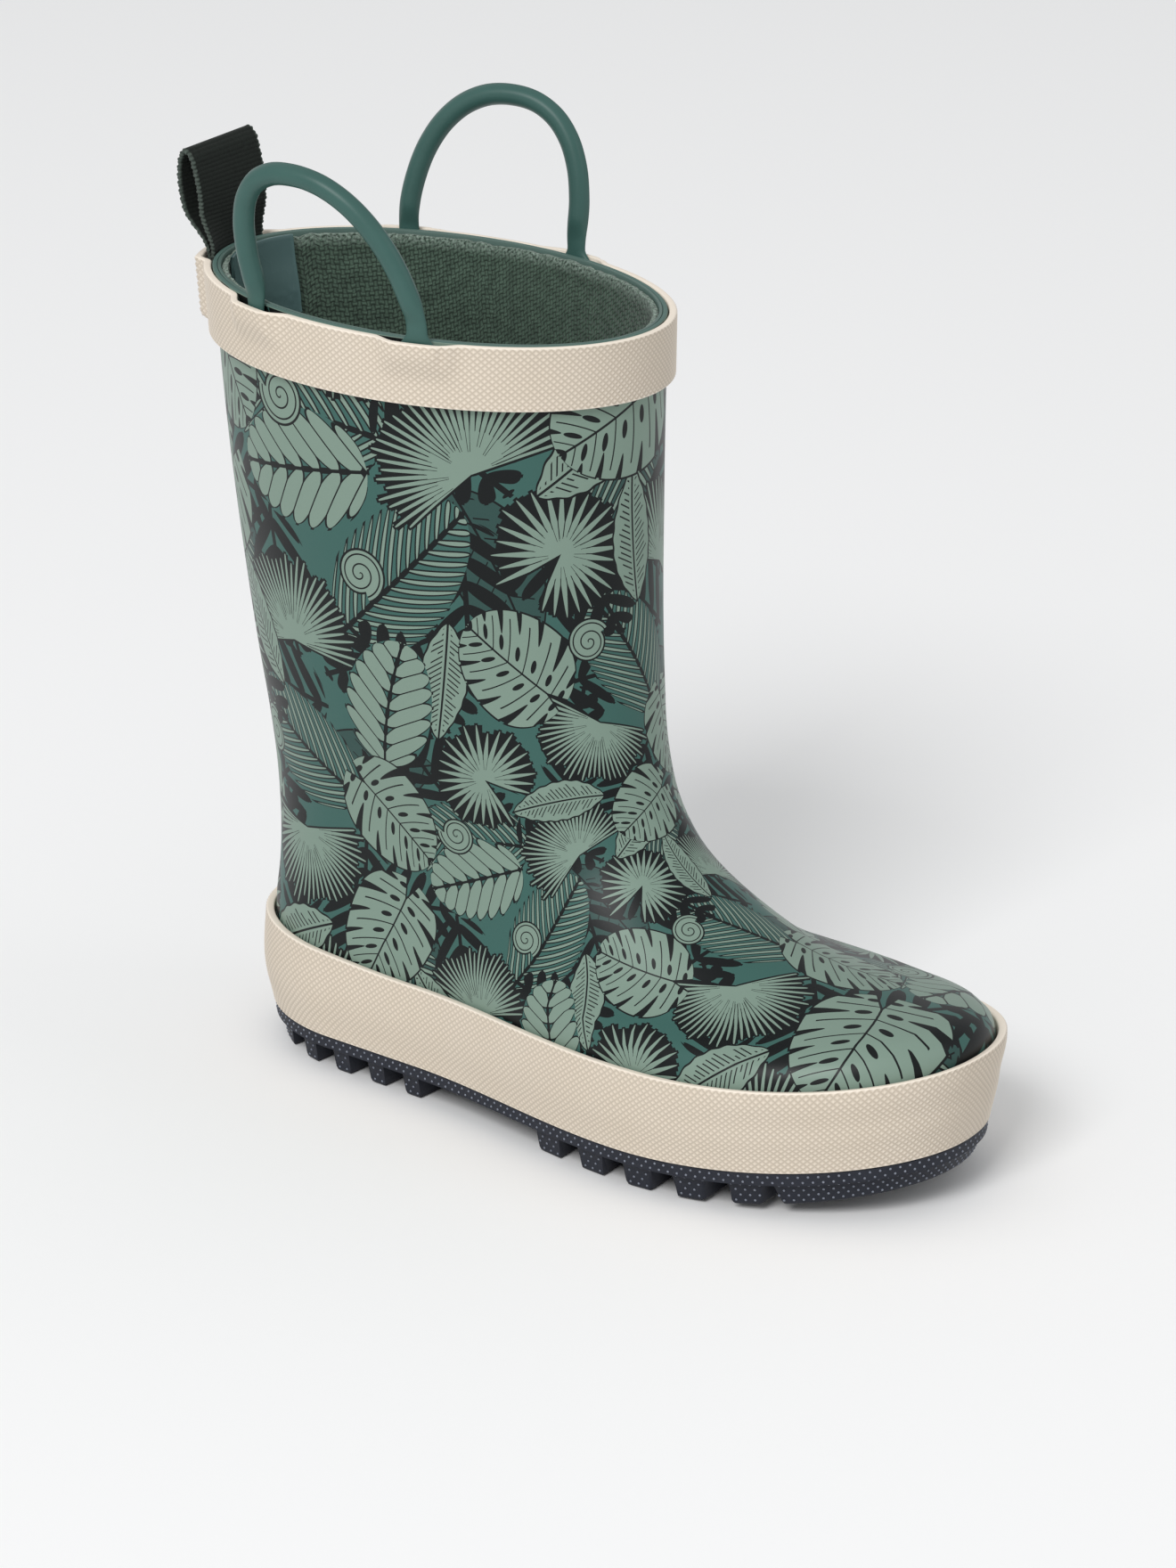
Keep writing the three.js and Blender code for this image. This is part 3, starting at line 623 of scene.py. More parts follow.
bpy.ops.object.mode_set(mode="OBJECT")
flat_uv = np.zeros(len(pattern.data.loops) * 2)
pattern.data.uv_layers.active.data.foreach_get("uv", flat_uv)
flat_uv = flat_uv.reshape(-1, 2)
loop_vertex = np.zeros(len(pattern.data.loops), int)
pattern.data.loops.foreach_get("vertex_index", loop_vertex)
cut_sheet = np.zeros((rows * columns, 2))
cut_sheet[loop_vertex] = flat_uv
cut_sheet = cut_sheet.reshape(rows, columns, 2)
shin = np.argmin(np.abs(sheet_angles - math.pi))
low_row = np.searchsorted(sheet_levels, instep)
up = cut_sheet[-1, shin] - cut_sheet[low_row, shin]
real = np.linalg.norm(sheet_points[-1, shin] - sheet_points[low_row, shin])
scale = real / np.linalg.norm(up)
c, s = up[1] / np.linalg.norm(up), up[0] / np.linalg.norm(up)
cut_sheet = (cut_sheet - cut_sheet[-1, shin]) @ np.array([[c, s], [-s, c]]) * scale
bpy.data.objects.remove(pattern)
loops = np.stack([cut_sheet[:-1, :-1], cut_sheet[:-1, 1:], cut_sheet[1:, 1:],
                  cut_sheet[1:, :-1]], -2).reshape(-1, 2)
layer = upper.data.uv_layers.new(name="Print")
full = np.zeros((len(upper.data.loops), 2))
full[:len(loops)] = loops
layer.data.foreach_set("uv", full.ravel())
upper.data.materials.append(calendered_rubber("back of the printed sheet", "#4b655f", "#567069",
                                              0.55))
slots = np.zeros(len(upper.data.polygons), dtype=np.int32)
slots[upper_rows * len(upper_angles):] = 1
upper.data.polygons.foreach_set("material_index", slots)
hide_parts("upper_foot", "upper_leg")

# ---- Stiffeners under the upper ----------------------------------------------------------------
# Rubberised canvas stiffens the heel and toe, and a tape covers the back seam. All three lie
# between the upper and the lining.


def woven_cloth(name, light, dark, pitch, roughness=0.92, mapped=True):
    """Plain weave: threads pass over and under each other, a pitch apart in millimetres; where
    they lie low, the colour is darkened with painted shade.
    """
    material, tree, shader = new_finish(name)
    if mapped:
        place = add(tree, "UVMap", uv_map="Surface")
        scale = 1 / pitch
    else:
        place = add(tree, "TexCoord").node.outputs["Object"]
        scale = 1000 / pitch
    wander = add(tree, "TexNoise", Vector=place, Scale=scale * 0.35, Detail=2.0)
    parts = add(tree, "SeparateXYZ", add(tree, "VectorMath SCALE", place, Scale=scale))
    parts = parts.node.outputs
    shift = add(tree, "Math MULTIPLY", add(tree, "Math SUBTRACT", wander, 0.5), 0.7)
    u = add(tree, "Math ADD", parts["X"], shift)
    v = add(tree, "Math SUBTRACT", parts["Y"], shift)
    if not mapped:
        v = add(tree, "Math ADD", v, parts["Z"])
    round_u = add(tree, "Math ABSOLUTE", add(tree, "Math SINE", add(tree, "Math MULTIPLY", u,
                                                                   math.pi)))
    round_v = add(tree, "Math ABSOLUTE", add(tree, "Math SINE", add(tree, "Math MULTIPLY", v,
                                                                   math.pi)))
    cell = add(tree, "Math ADD", add(tree, "Math FLOOR", u), add(tree, "Math FLOOR", v))
    over = add(tree, "Math GREATER_THAN", add(tree, "Math FRACT", add(tree, "Math MULTIPLY",
               cell, 0.5)), 0.25)
    height = add(tree, "Mix", over, round_u, round_v, data_type="FLOAT")
    fibre = add(tree, "TexNoise", Vector=place, Scale=scale * 5.0, Detail=2.0)
    tall = add(tree, "Math MULTIPLY_ADD", fibre, 0.4, height)
    # Painted shade: the colour runs to the dark one where the threads lie low.
    shade = add(tree, "Math MULTIPLY", tall, add(tree, "Math MULTIPLY_ADD", wander, 0.9, 0.3))
    mixed = add(tree, "Mix", shade, linear(dark), linear(light), data_type="RGBA",
                clamp_factor=True)
    tree.links.new(mixed, shader.inputs["Base Color"])
    bump = add(tree, "Bump", Height=tall, Strength=0.7, Distance=pitch * 0.3 * MM)
    tree.links.new(bump, shader.inputs["Normal"])
    shader.inputs["Roughness"].default_value = roughness
    shader.inputs["Sheen Weight"].default_value = 0.12
    shader.inputs["Specular IOR Level"].default_value = 0.3
    return material


def dress(node, material):
    """Gives a CAD node its finish."""
    nodes[node].data.materials.clear()
    nodes[node].data.materials.append(material)


# The dark colour is painted shade for the hollows of the weave.
stiffener = woven_cloth("rubberised stiffening canvas", "#a39d8b", "#6f6a5c", 0.9, 0.8, False)
for node in ("heel_counter", "toe_puff", "back_seam_tape"):
    dress(node, stiffener)

# ---- Canvas lining -----------------------------------------------------------------------------
# A stocking of plain-woven cotton canvas, dipped and laid on the last first, so its weave shows
# all over the inside. Its real threads lie 0.7 mm apart and are drawn 1.05 mm apart, so that the
# weave still shows from an arm's length. Bare fibres show pale along its cut top edge.
lining_outer = -3.2
lining_inner = -4.0
lining_foot = 14.3
lining_top = rim - 0.9
# The dark colour is painted shade for the hollows of the weave.
canvas = woven_cloth("plain-woven cotton canvas", "#516658", "#0c1510", 1.05)
tree = canvas.node_tree
shader = tree.nodes["Principled BSDF"]
fibres = add(tree, "TexNoise", Vector=add(tree, "UVMap", uv_map="Surface"), Scale=1.6, Detail=3.0)
raw = add(tree, "Attribute", attribute_name="raw_edge").node.outputs["Fac"]
loose = add(tree, "Math MULTIPLY_ADD", fibres, 4.0, -1.5, use_clamp=True)
bare = add(tree, "Math MULTIPLY", raw, loose)
woven = shader.inputs["Base Color"].links[0].from_socket
tree.links.new(add(tree, "Mix", bare, woven, linear("#8b9c91"), data_type="RGBA"),
               shader.inputs["Base Color"])
lining_angles, _ = even_angles(176, 150, lining_inner)
levels, offsets = section(lining_foot, lining_top, lining_inner, lining_outer, 14, 60, 0.2)
fray = np.random.default_rng(4)
edge_rows = levels[:, 0] > lining_top - 1.2
lining_middle = (lining_inner + lining_outer) / 2
thicker = 0.5 * (offsets > lining_middle) * ease(levels, rim - 9.5, rim - 8.5)
offsets += thinned_edge(levels) + thicker
levels = np.repeat(levels, len(lining_angles), 1)
offsets = np.repeat(offsets, len(lining_angles), 1)
levels[edge_rows] += fray.normal(0, 0.14, len(lining_angles))
lining = sweep("lining_canvas", lining_angles, np.minimum(levels, rim - 0.3), offsets, canvas)
layer = lining.data.attributes.new("raw_edge", "FLOAT", "POINT")
layer.data.foreach_set("value", ease(levels, lining_top - 1.8, lining_top - 0.6).ravel())
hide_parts("canvas_lining")

# ---- Rim strip and back patch ------------------------------------------------------------------
# A strip of green rubber seals the raw top of the canvas to the upper, and a patch of the same
# rubber, wetter and glossier from its cement, covers the loop's stitching inside the back.
strip_high = 8.0
strip_inner = -2.6
strip_outer = -1.85
green_rubber = calendered_rubber("green rubber sheet, satin", "#4f655f", "#5b7069", 0.42)
levels, offsets = section(rim - strip_high, rim, strip_inner, strip_outer, 16, 16, 0.25)
offsets += thinned_edge(levels)
strip = sweep("rim_edge", lining_angles, levels, offsets, green_rubber)
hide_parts("rim_strip")

patch_deep = 16.0
patch_turn = 0.36
patch_inner = -5.0
patch_outer = -4.3
cemented = calendered_rubber("green rubber patch, glossy with cement", "#455d5b", "#566f6f",
                             0.26, 0.3)
patch_angles = np.linspace(-patch_turn, patch_turn, 30)
ragged = patch_deep + 1.6 * np.cos(patch_angles * 9) * np.sin(patch_angles * 5)
levels, offsets = section(rim - ragged, rim - 0.1, patch_inner, patch_outer, 8, 24, 0.25)
offsets += thinned_edge(levels)
ripple = np.random.default_rng(9).normal(0, 0.07, offsets.shape)
patch = sweep("patch_back", patch_angles, levels, offsets + ripple * (offsets < patch_inner + 0.1),
              cemented, closed=False)
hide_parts("back_patch")

# ---- Footbed, board and fillers ----------------------------------------------------------------
# Sponge fills the hollow over the plate, a fibre board stiffens it, and a loose foam footbed
# with a canvas cover lies on top.


def joined_sheets(rows, columns):
    """The faces of two like grids of points, joined all round to close a sheet."""
    index = np.arange(rows * columns).reshape(rows, columns)
    top = np.stack([index[:-1, :-1], index[1:, :-1], index[1:, 1:], index[:-1, 1:]], -1)
    top = top.reshape(-1, 4)
    ring = np.concatenate([index[0, :-1], index[:-1, -1], index[-1, :0:-1], index[:0:-1, 0]])
    after = np.roll(ring, -1)
    rest = np.stack([ring, after, after + index.size, ring + index.size], -1)
    return np.concatenate([top, top[:, ::-1] + index.size, rest]).tolist()


def face_outwards(piece, merge=False):
    """Turns every face outwards, and first merges points that meet if it is asked to."""
    fix = bmesh.new()
    fix.from_mesh(piece.data)
    if merge:
        bmesh.ops.remove_doubles(fix, verts=fix.verts, dist=1e-6)
    bmesh.ops.recalc_face_normals(fix, faces=fix.faces)
    fix.to_mesh(piece.data)
    fix.free()


def sole_sheet(name, low, high, offset, material, level, across=16, along=90):
    """A closed sheet over the foot's outline, bent up at the toe with the rest of the sole."""
    angle = np.linspace(0.02, math.pi - 0.02, along)
    flat = np.full(along, float(level))
    left = skin(flat, angle, np.full(along, offset))
    right = skin(flat, -angle, np.full(along, offset))
    share = np.linspace(0, 1, across)[None, :, None]
    grid = mix(left[:, None], right[:, None], share)
    layers = []
    for height in (high, low):
        sheet = grid.copy()
        sheet[..., 2] = height + lift(sheet[..., 1])
        layers.append(sheet.reshape(-1, 3))
    piece = make_piece(name, np.concatenate(layers), joined_sheets(along, across), material)
    face_outwards(piece, merge=True)
    place = piece.data.uv_layers.new(name="Surface")
    for corner in piece.data.loops:
        place.data[corner.index].uv = piece.data.vertices[corner.vertex_index].co.xy / MM
    piece.data.set_sharp_from_angle(angle=math.radians(50))
    return piece


def sponge(name, light, dark, cell):
    """Foamed rubber: closed cells show on its face as small pits, darkened with painted shade."""
    material, tree, shader = new_finish(name)
    place = add(tree, "TexCoord").node.outputs["Object"]
    cells = add(tree, "TexVoronoi", Vector=place, Scale=1000 / cell)
    tone = add(tree, "TexNoise", Vector=place, Scale=120.0, Detail=4.0)
    # Painted shade: each cell's pit takes the dark colour.
    mixed = add(tree, "Mix", add(tree, "Math MULTIPLY", cells, tone), linear(dark),
                linear(light), data_type="RGBA")
    tree.links.new(mixed, shader.inputs["Base Color"])
    bump = add(tree, "Bump", Height=cells, Strength=0.5, Distance=cell * 0.3 * MM)
    tree.links.new(bump, shader.inputs["Normal"])
    shader.inputs["Roughness"].default_value = 0.85
    return material


filler = sponge("sponge rubber filler", "#6a645d", "#3d3833", 0.8)
dress("heel_filler", filler)
dress("forefoot_filler", filler)
dress("insole_board", sponge("pressed fibre board", "#b59f7e", "#8a7556", 0.5))
dress("footbed_foam", sponge("EVA foam", "#8f9290", "#5f6361", 0.7))

cover_top = 18.6
cover_thick = 0.8
cover = sole_sheet("footbed_canvas", cover_top - cover_thick, cover_top, -4.6, canvas, lining_foot)
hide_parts("footbed_cover")

# ---- Textured strips: foxing and top band ------------------------------------------------------
# Cream rubber strip, embossed by a roller with small lozenges in offset rows: 1.6 mm from one to
# the next and 0.72 mm from row to row. The lozenges are in the mesh, a fine grain is on top, and
# the hollows between them are darkened with painted shade.
lozenge_wide = 1.6
lozenge_row = 0.72
lozenge_high = 0.42


def embossed_rubber(name, colour, tint, hollow):
    """Embossed rubber: matte and a little dusty, with its hollows darkened by painted shade."""
    material, tree, shader = new_finish(name)
    place = add(tree, "TexCoord").node.outputs["Object"]
    cloudy = add(tree, "TexNoise", Vector=place, Scale=60.0, Detail=4.0)
    grain = add(tree, "TexNoise", Vector=place, Scale=3500.0, Detail=2.0)
    shade = add(tree, "Mix", cloudy, linear(colour), linear(tint), data_type="RGBA")
    # Painted shade: the colour darkens towards the hollow colour where the mesh sits low between
    # lozenges.
    low = add(tree, "Attribute", attribute_name="hollow").node.outputs["Fac"]
    hollow_shade = add(tree, "Mix", add(tree, "Math MULTIPLY", low, 0.65), shade, linear(hollow),
                data_type="RGBA")
    tree.links.new(hollow_shade, shader.inputs["Base Color"])
    tree.links.new(add(tree, "Math MULTIPLY_ADD", cloudy, 0.15, 0.47), shader.inputs["Roughness"])
    bump = add(tree, "Bump", Height=grain, Strength=0.2, Distance=0.00008)
    tree.links.new(bump, shader.inputs["Normal"])
    shader.inputs["IOR"].default_value = 1.52
    return material


# Its last colour is painted shade for the hollows between the lozenges.
cream = embossed_rubber("embossed cream rubber", "#efe4d6", "#e7dbca", "#a3947f")


def lozenges(rows, columns):
    """Raised and hollow places by turns: 1 on a lozenge and 0 between."""
    row, column = np.indices((rows, columns))
    return ((row + column) % 2).astype(float)


def emboss(piece, raised, total):
    """Folds each cell from hollow to hollow, so that every lozenge stands alone, and keeps which
    places are hollow for the material's painted shade."""
    values = np.zeros(total)
    values[:raised.size] = 1 - raised.ravel()
    layer = piece.data.attributes.new("hollow", "FLOAT", "POINT")
    layer.data.foreach_set("value", values)
    fold = bmesh.new()
    fold.from_mesh(piece.data)
    fold.verts.ensure_lookup_table()
    fold.faces.ensure_lookup_table()
    for face in fold.faces[:(raised.shape[0] - 1) * raised.shape[1]]:
        corners = [v for v in face.verts if values[v.index] > 0.5]
        if len(corners) == 2:
            bmesh.utils.face_split(face, corners[0], corners[1])
    fold.to_mesh(piece.data)
    fold.free()


plate_top = 8.6
foxing_inner = 0.45
foxing_outer = 2.25
foxing_high = {"heel": 22.0, "waist": 19.5, "toe": 19.0}
foxing_middle = 20.0
foxing_round = even_angles(10, foxing_middle, foxing_outer)[1]
foxing_count = 2 * round(foxing_round / lozenge_wide)
foxing_angles, _ = even_angles(foxing_count, foxing_middle, foxing_outer)
y = skin(np.full(foxing_count, vamp_foot), foxing_angles, np.zeros(foxing_count))[:, 1]
rear_high = mix(foxing_high["heel"], foxing_high["waist"], ease(-y, -heel_back, -waist_line))
foxing_top = plate_top + mix(rear_high, foxing_high["toe"], ease(-y, -ball_line, -toe_end))
foxing_rows = round(sum(foxing_high.values()) / 3 / lozenge_row)
levels, offsets = section(upper_foot - 0.1, foxing_top, foxing_inner, foxing_outer, foxing_rows, 5)
raised = lozenges(foxing_rows, foxing_count)
offsets[:foxing_rows] += (raised - 0.6) * lozenge_high
foxing = sweep("foxing_embossed", foxing_angles, levels, offsets, cream)
emboss(foxing, raised, levels.size)
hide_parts("foxing_strip")

# The band is laid on last, over the handles' and the loop's flat ends, and hugs them: it swells
# over each and creases beside it.
band_high = 14.5
band_thick = 1.6
column_angle = 2 * math.pi / 56
handle_columns = {"outer": (10, 17), "inner": (47, 40)}
leg_angles = [c * column_angle for pair in handle_columns.values() for c in pair]
tuck_thick = 2.3
clearance = 0.3
band_middle = rim - 7.0
band_face = 2.0
band_round = even_angles(10, band_middle, band_face)[1]
band_count = 2 * round(band_round / lozenge_wide)
band_angles, _ = even_angles(band_count, band_middle, band_face)
band_rows = round(band_high / lozenge_row)
levels, offsets = section(rim - band_high, rim, clearance, clearance + band_thick, band_rows, 8)
levels = np.repeat(levels, band_count, 1)
offsets = np.repeat(offsets, band_count, 1)
raised = lozenges(band_rows, band_count)
offsets[:band_rows] += (raised - 0.6) * lozenge_high


def turn_between(a, b):
    """The angle from b to a, the short way round."""
    return (a - b + math.pi) % (2 * math.pi) - math.pi


rise = ease(levels, rim - 10, rim - 2)
around = np.broadcast_to(band_angles, levels.shape)
swell = np.zeros(levels.shape)
crease = np.zeros(levels.shape)
for angle in leg_angles:
    away = turn_between(around, angle) / column_angle
    swell = np.maximum(swell, 0.86 * ease(-np.abs(away), -1.7, -0.75) * rise)
    forward = np.sign(math.pi - angle)
    crease += np.exp(-((away * forward - 0.95) / 0.13) ** 2) * ease(levels, rim - 6, rim - 3)
over_loop = ease(-np.abs(turn_between(around, 0) / column_angle), -3.5, -2.6)
swell = np.maximum(swell, over_loop * ease(levels, rim - band_high, rim - band_high + 1.5))
offsets += (tuck_thick + clearance) * swell - 0.75 * crease * (offsets > 1)
band = sweep("band_embossed", band_angles, levels, offsets, cream)
emboss(band, raised, levels.size)
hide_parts("top_band")

# ---- Outsole -----------------------------------------------------------------------------------
# Compression-moulded navy rubber: a thin plate with rounded lugs, tapered so that they leave the
# mould. Small pips stand on every wall, coloured pale grey all over: a painted highlight for the
# light that their small domes catch.
lug_depth = 6.0
groove = 3.2
heel_pitch = 10.3
forefoot_pitch = 12.5
tip_start = heel_back + foxing_outer
heel_end = tip_start - 61.5
forefoot_start = heel_end - 31
block_start = forefoot_start - 5 * forefoot_pitch
tread_outset = foxing_outer - 1.2
toe_bevel = 2.5


# How far a lug's wall has drawn in at each height above the floor.
lug_wall = [(6.3, 0.0), (5.3, 0.7), (1.1, 1.4), (0.4, 1.65), (0.1, 2.0), (0.0, 2.5)]


def moulded_rubber(name, colour, tint, roughness):
    """Moulded rubber: a fine spark-eroded grain keeps it dull."""
    material, tree, shader = new_finish(name)
    place = add(tree, "TexCoord").node.outputs["Object"]
    cloudy = add(tree, "TexNoise", Vector=place, Scale=150.0, Detail=3.0)
    grain = add(tree, "TexNoise", Vector=place, Scale=2200.0, Detail=3.0)
    shade = add(tree, "Mix", cloudy, linear(colour), linear(tint), data_type="RGBA")
    tree.links.new(shade, shader.inputs["Base Color"])
    tree.links.new(add(tree, "Math MULTIPLY_ADD", grain, 0.2, roughness - 0.1),
                   shader.inputs["Roughness"])
    bump = add(tree, "Bump", Height=grain, Strength=0.35, Distance=0.00012)
    tree.links.new(bump, shader.inputs["Normal"])
    shader.inputs["Specular IOR Level"].default_value = 0.35
    return material


navy = moulded_rubber("moulded navy rubber", "#171a24", "#20242f", 0.6)
# Painted highlight: the pips are coloured pale grey for the light their small domes catch; their
# rubber is the same navy.
pip_highlight_finish = moulded_rubber("pips painted pale as a highlight", "#868c98", "#5b606c", 0.5)

plate = sole_sheet("outsole_plate", lug_depth, plate_top, foxing_outer - 0.4, navy, upper_foot,
                   along=140)

outline_angles, outline_round = even_angles(300, upper_foot, tread_outset)


def outline(wall):
    """The tread's outline in plan, drawn in by a wall's draft."""
    return skin(np.full(300, upper_foot), outline_angles, np.full(300, tread_outset - wall))[:, :2]


def cut_off(polygon, direction, limit):
    """Keeps the part of a polygon that lies short of a limit along a direction."""
    kept = []
    reach = polygon @ direction - limit
    for here, after, a, b in zip(polygon, np.roll(polygon, -1, 0), reach, np.roll(reach, -1)):
        if a <= 0:
            kept.append(here)
        if (a < 0) != (b < 0):
            kept.append(here + (after - here) * (a / (a - b)))
    return np.array(kept)


def rays(polygon, middle, stretch, count=112):
    """Where even rays from the middle meet the polygon, once it is stretched along the foot."""
    a = (polygon - middle) * [1, stretch]
    b = np.roll(a, -1, 0)
    ring = []
    for turn in np.arange(count) / count * 2 * math.pi:
        x, y = math.cos(turn), math.sin(turn)
        cross_a = a[:, 0] * y - a[:, 1] * x
        cross_b = b[:, 0] * y - b[:, 1] * x
        hit = np.nonzero((cross_a * cross_b <= 0) & (a @ [x, y] + b @ [x, y] > 0)
                         & (cross_a != cross_b))[0][0]
        share = cross_a[hit] / (cross_a[hit] - cross_b[hit])
        ring.append((a[hit] + share * (b[hit] - a[hit])) / [1, stretch] + middle)
    return np.array(ring)


# Each lug: where it starts and ends along the foot, its sweep in degrees, and its side.
lugs = [(heel_end + k * heel_pitch + heel_pitch - groove, heel_end + k * heel_pitch, 0, 0)
        for k in range(4)]
lugs.append((tip_start, heel_end + 4 * heel_pitch, 0, 0))
for k in range(5):
    start = forefoot_start - k * forefoot_pitch
    for side in (-1, 1):
        lugs.append((start, start - forefoot_pitch + groove, -7 * side, side))
lugs.append((block_start, toe_end - 5, 0, 0))

lug_points = []
lug_faces = []
for start, end, sweep_angle, side in lugs:
    turn = math.radians(sweep_angle)
    forward = np.array([-math.sin(turn), math.cos(turn)])
    pivot = np.array([0, (start + end) / 2]) @ forward
    rings = []
    for height, wall in lug_wall:
        half = (start - end) / 2 - wall
        shape = cut_off(outline(wall), forward, pivot + half)
        shape = cut_off(shape, -forward, half - pivot)
        if side:
            shape = cut_off(shape, np.array([-side, 0]), -groove / 2 - wall)
        if not rings:
            middle = (shape.min(0) + shape.max(0)) / 2
            size = shape.max(0) - shape.min(0)
        ring = rays(shape, middle, size[0] / size[1])
        rings.append(np.column_stack([ring, np.full(len(ring), height)]))
    rings = np.array(rings)
    rings[..., 2] += lift(rings[..., 1]) * (1 + toe_bevel / toe_spring * np.clip(
        1 - rings[..., 2] / lug_depth, 0, 1))
    first = sum(len(p) for p in lug_points)
    count = rings.shape[1]
    index = first + np.arange(rings.shape[0] * count).reshape(-1, count)
    after = np.roll(index, -1, 1)
    lug_points.append(rings.reshape(-1, 3))
    lug_faces += np.stack([index[:-1], index[1:], after[1:], after[:-1]], -1).reshape(
        -1, 4).tolist()
    lug_faces += [index[0].tolist(), index[-1, ::-1].tolist()]
lug_piece = make_piece("outsole_lugs", np.concatenate(lug_points), lug_faces, navy)
lug_piece.data.set_sharp_from_angle(angle=math.radians(50))

# Pips in offset rows on the plate's edge and on the lugs' outer walls.
pip_pitch = 2.1
pip_size = 0.34
pip_high = 0.14
pip_levels = (1.3, 2.7, 4.1, 5.5, 6.7, 7.9)
pip_points = []
pip_faces = []
pip_count = round(outline_round / pip_pitch)


def on_lug(x, y, spare):
    """Whether a place on the outline lies on a lug, clear of its rounded ends."""
    for start, end, sweep_angle, side in lugs:
        if side and side * x < 0:
            continue
        turn = math.radians(sweep_angle)
        across = -math.sin(turn) * x + math.cos(turn) * (y - (start + end) / 2)
        if abs(across) < (start - end) / 2 - spare:
            return True
    return False


for row, height in enumerate(pip_levels):
    shift = 0.5 * (row % 2)
    wall = np.interp(height, [z for z, _ in lug_wall[::-1]], [w for _, w in lug_wall[::-1]])
    offset = tread_outset - wall if height < lug_depth else foxing_outer - 0.4
    angles = np.interp((np.arange(pip_count) + shift) / pip_count * 2 * math.pi,
                       np.arange(301) / 300 * 2 * math.pi, np.append(outline_angles, 2 * math.pi))
    level = np.full(pip_count, upper_foot)
    at = skin(level, angles, np.full(pip_count, offset))
    out = skin(level, angles, np.full(pip_count, offset + 1.0)) - at
    for place, outward in zip(at, out):
        if height < lug_depth and not on_lug(place[0], place[1], 0.6 + wall):
            continue
        rise = lift(place[1])
        bevel = toe_bevel * rise / toe_spring * (1 - height / lug_depth) if (
            height < lug_depth) else 0
        middle = np.array([place[0], place[1], height + rise + bevel])
        outward = np.array([outward[0], outward[1], 0])
        outward /= np.linalg.norm(outward)
        sideways = np.array([-outward[1], outward[0], 0])
        first = len(pip_points)
        for depth, size in ((-0.1, pip_size), (pip_high, pip_size * 0.6)):
            for turn in np.arange(6) * math.pi / 3:
                pip_points.append(middle + outward * depth + size * (
                    sideways * math.cos(turn) + np.array([0, 0, math.sin(turn)])))
        for k in range(6):
            k1 = (k + 1) % 6
            pip_faces.append([first + k, first + k1, first + 6 + k1, first + 6 + k])
        pip_faces.append([first + 6 + k for k in range(6)])
        pip_faces.append([first + k for k in reversed(range(6))])
pips = make_piece("outsole_pips", pip_points, pip_faces, pip_highlight_finish)
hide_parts("outsole")

# ---- Handles -----------------------------------------------------------------------------------
# Each handle is one moulding of green rubber: a 4.5 mm cord whose legs flatten into tabs that are
# cemented under the band. The mould's two halves leave a thin line round the arch.
cord_radius = 2.25
bend_high = 2.8
tab_half = 4.0
tab_thick = 2.0
tab_depth = 9.0
handle_high = {"outer": 28.2, "inner": 28.7}
handle_lean = {"outer": (-6, 5.5), "inner": (6, -1)}
cord_steps = 150
cord_sides = 28
moulded_green = calendered_rubber("moulded green rubber, satin", "#365550", "#3f605a", 0.38, 0.12)


def smooth_line(points, count):
    """Even points on a smooth curve through the given ones."""
    points = np.array(points, float)
    run = np.concatenate([[0], np.cumsum(np.linalg.norm(np.diff(points, axis=0), axis=1))])
    slope = np.gradient(points, run, axis=0)
    at = np.linspace(0, run[-1], count)
    i = np.clip(np.searchsorted(run, at, side="right"), 1, len(run) - 1)
    step = (run[i] - run[i - 1])[:, None]
    t = (at[:, None] - run[i - 1][:, None]) / step
    return ((2 * t ** 3 - 3 * t ** 2 + 1) * points[i - 1] + (t ** 3 - 2 * t ** 2 + t) * step
            * slope[i - 1] + (3 * t ** 2 - 2 * t ** 3) * points[i]
            + (t ** 3 - t ** 2) * step * slope[i])


def wall_point(angle, level, offset):
    return skin(np.array([level]), np.array([angle]), np.array([offset]))[0]


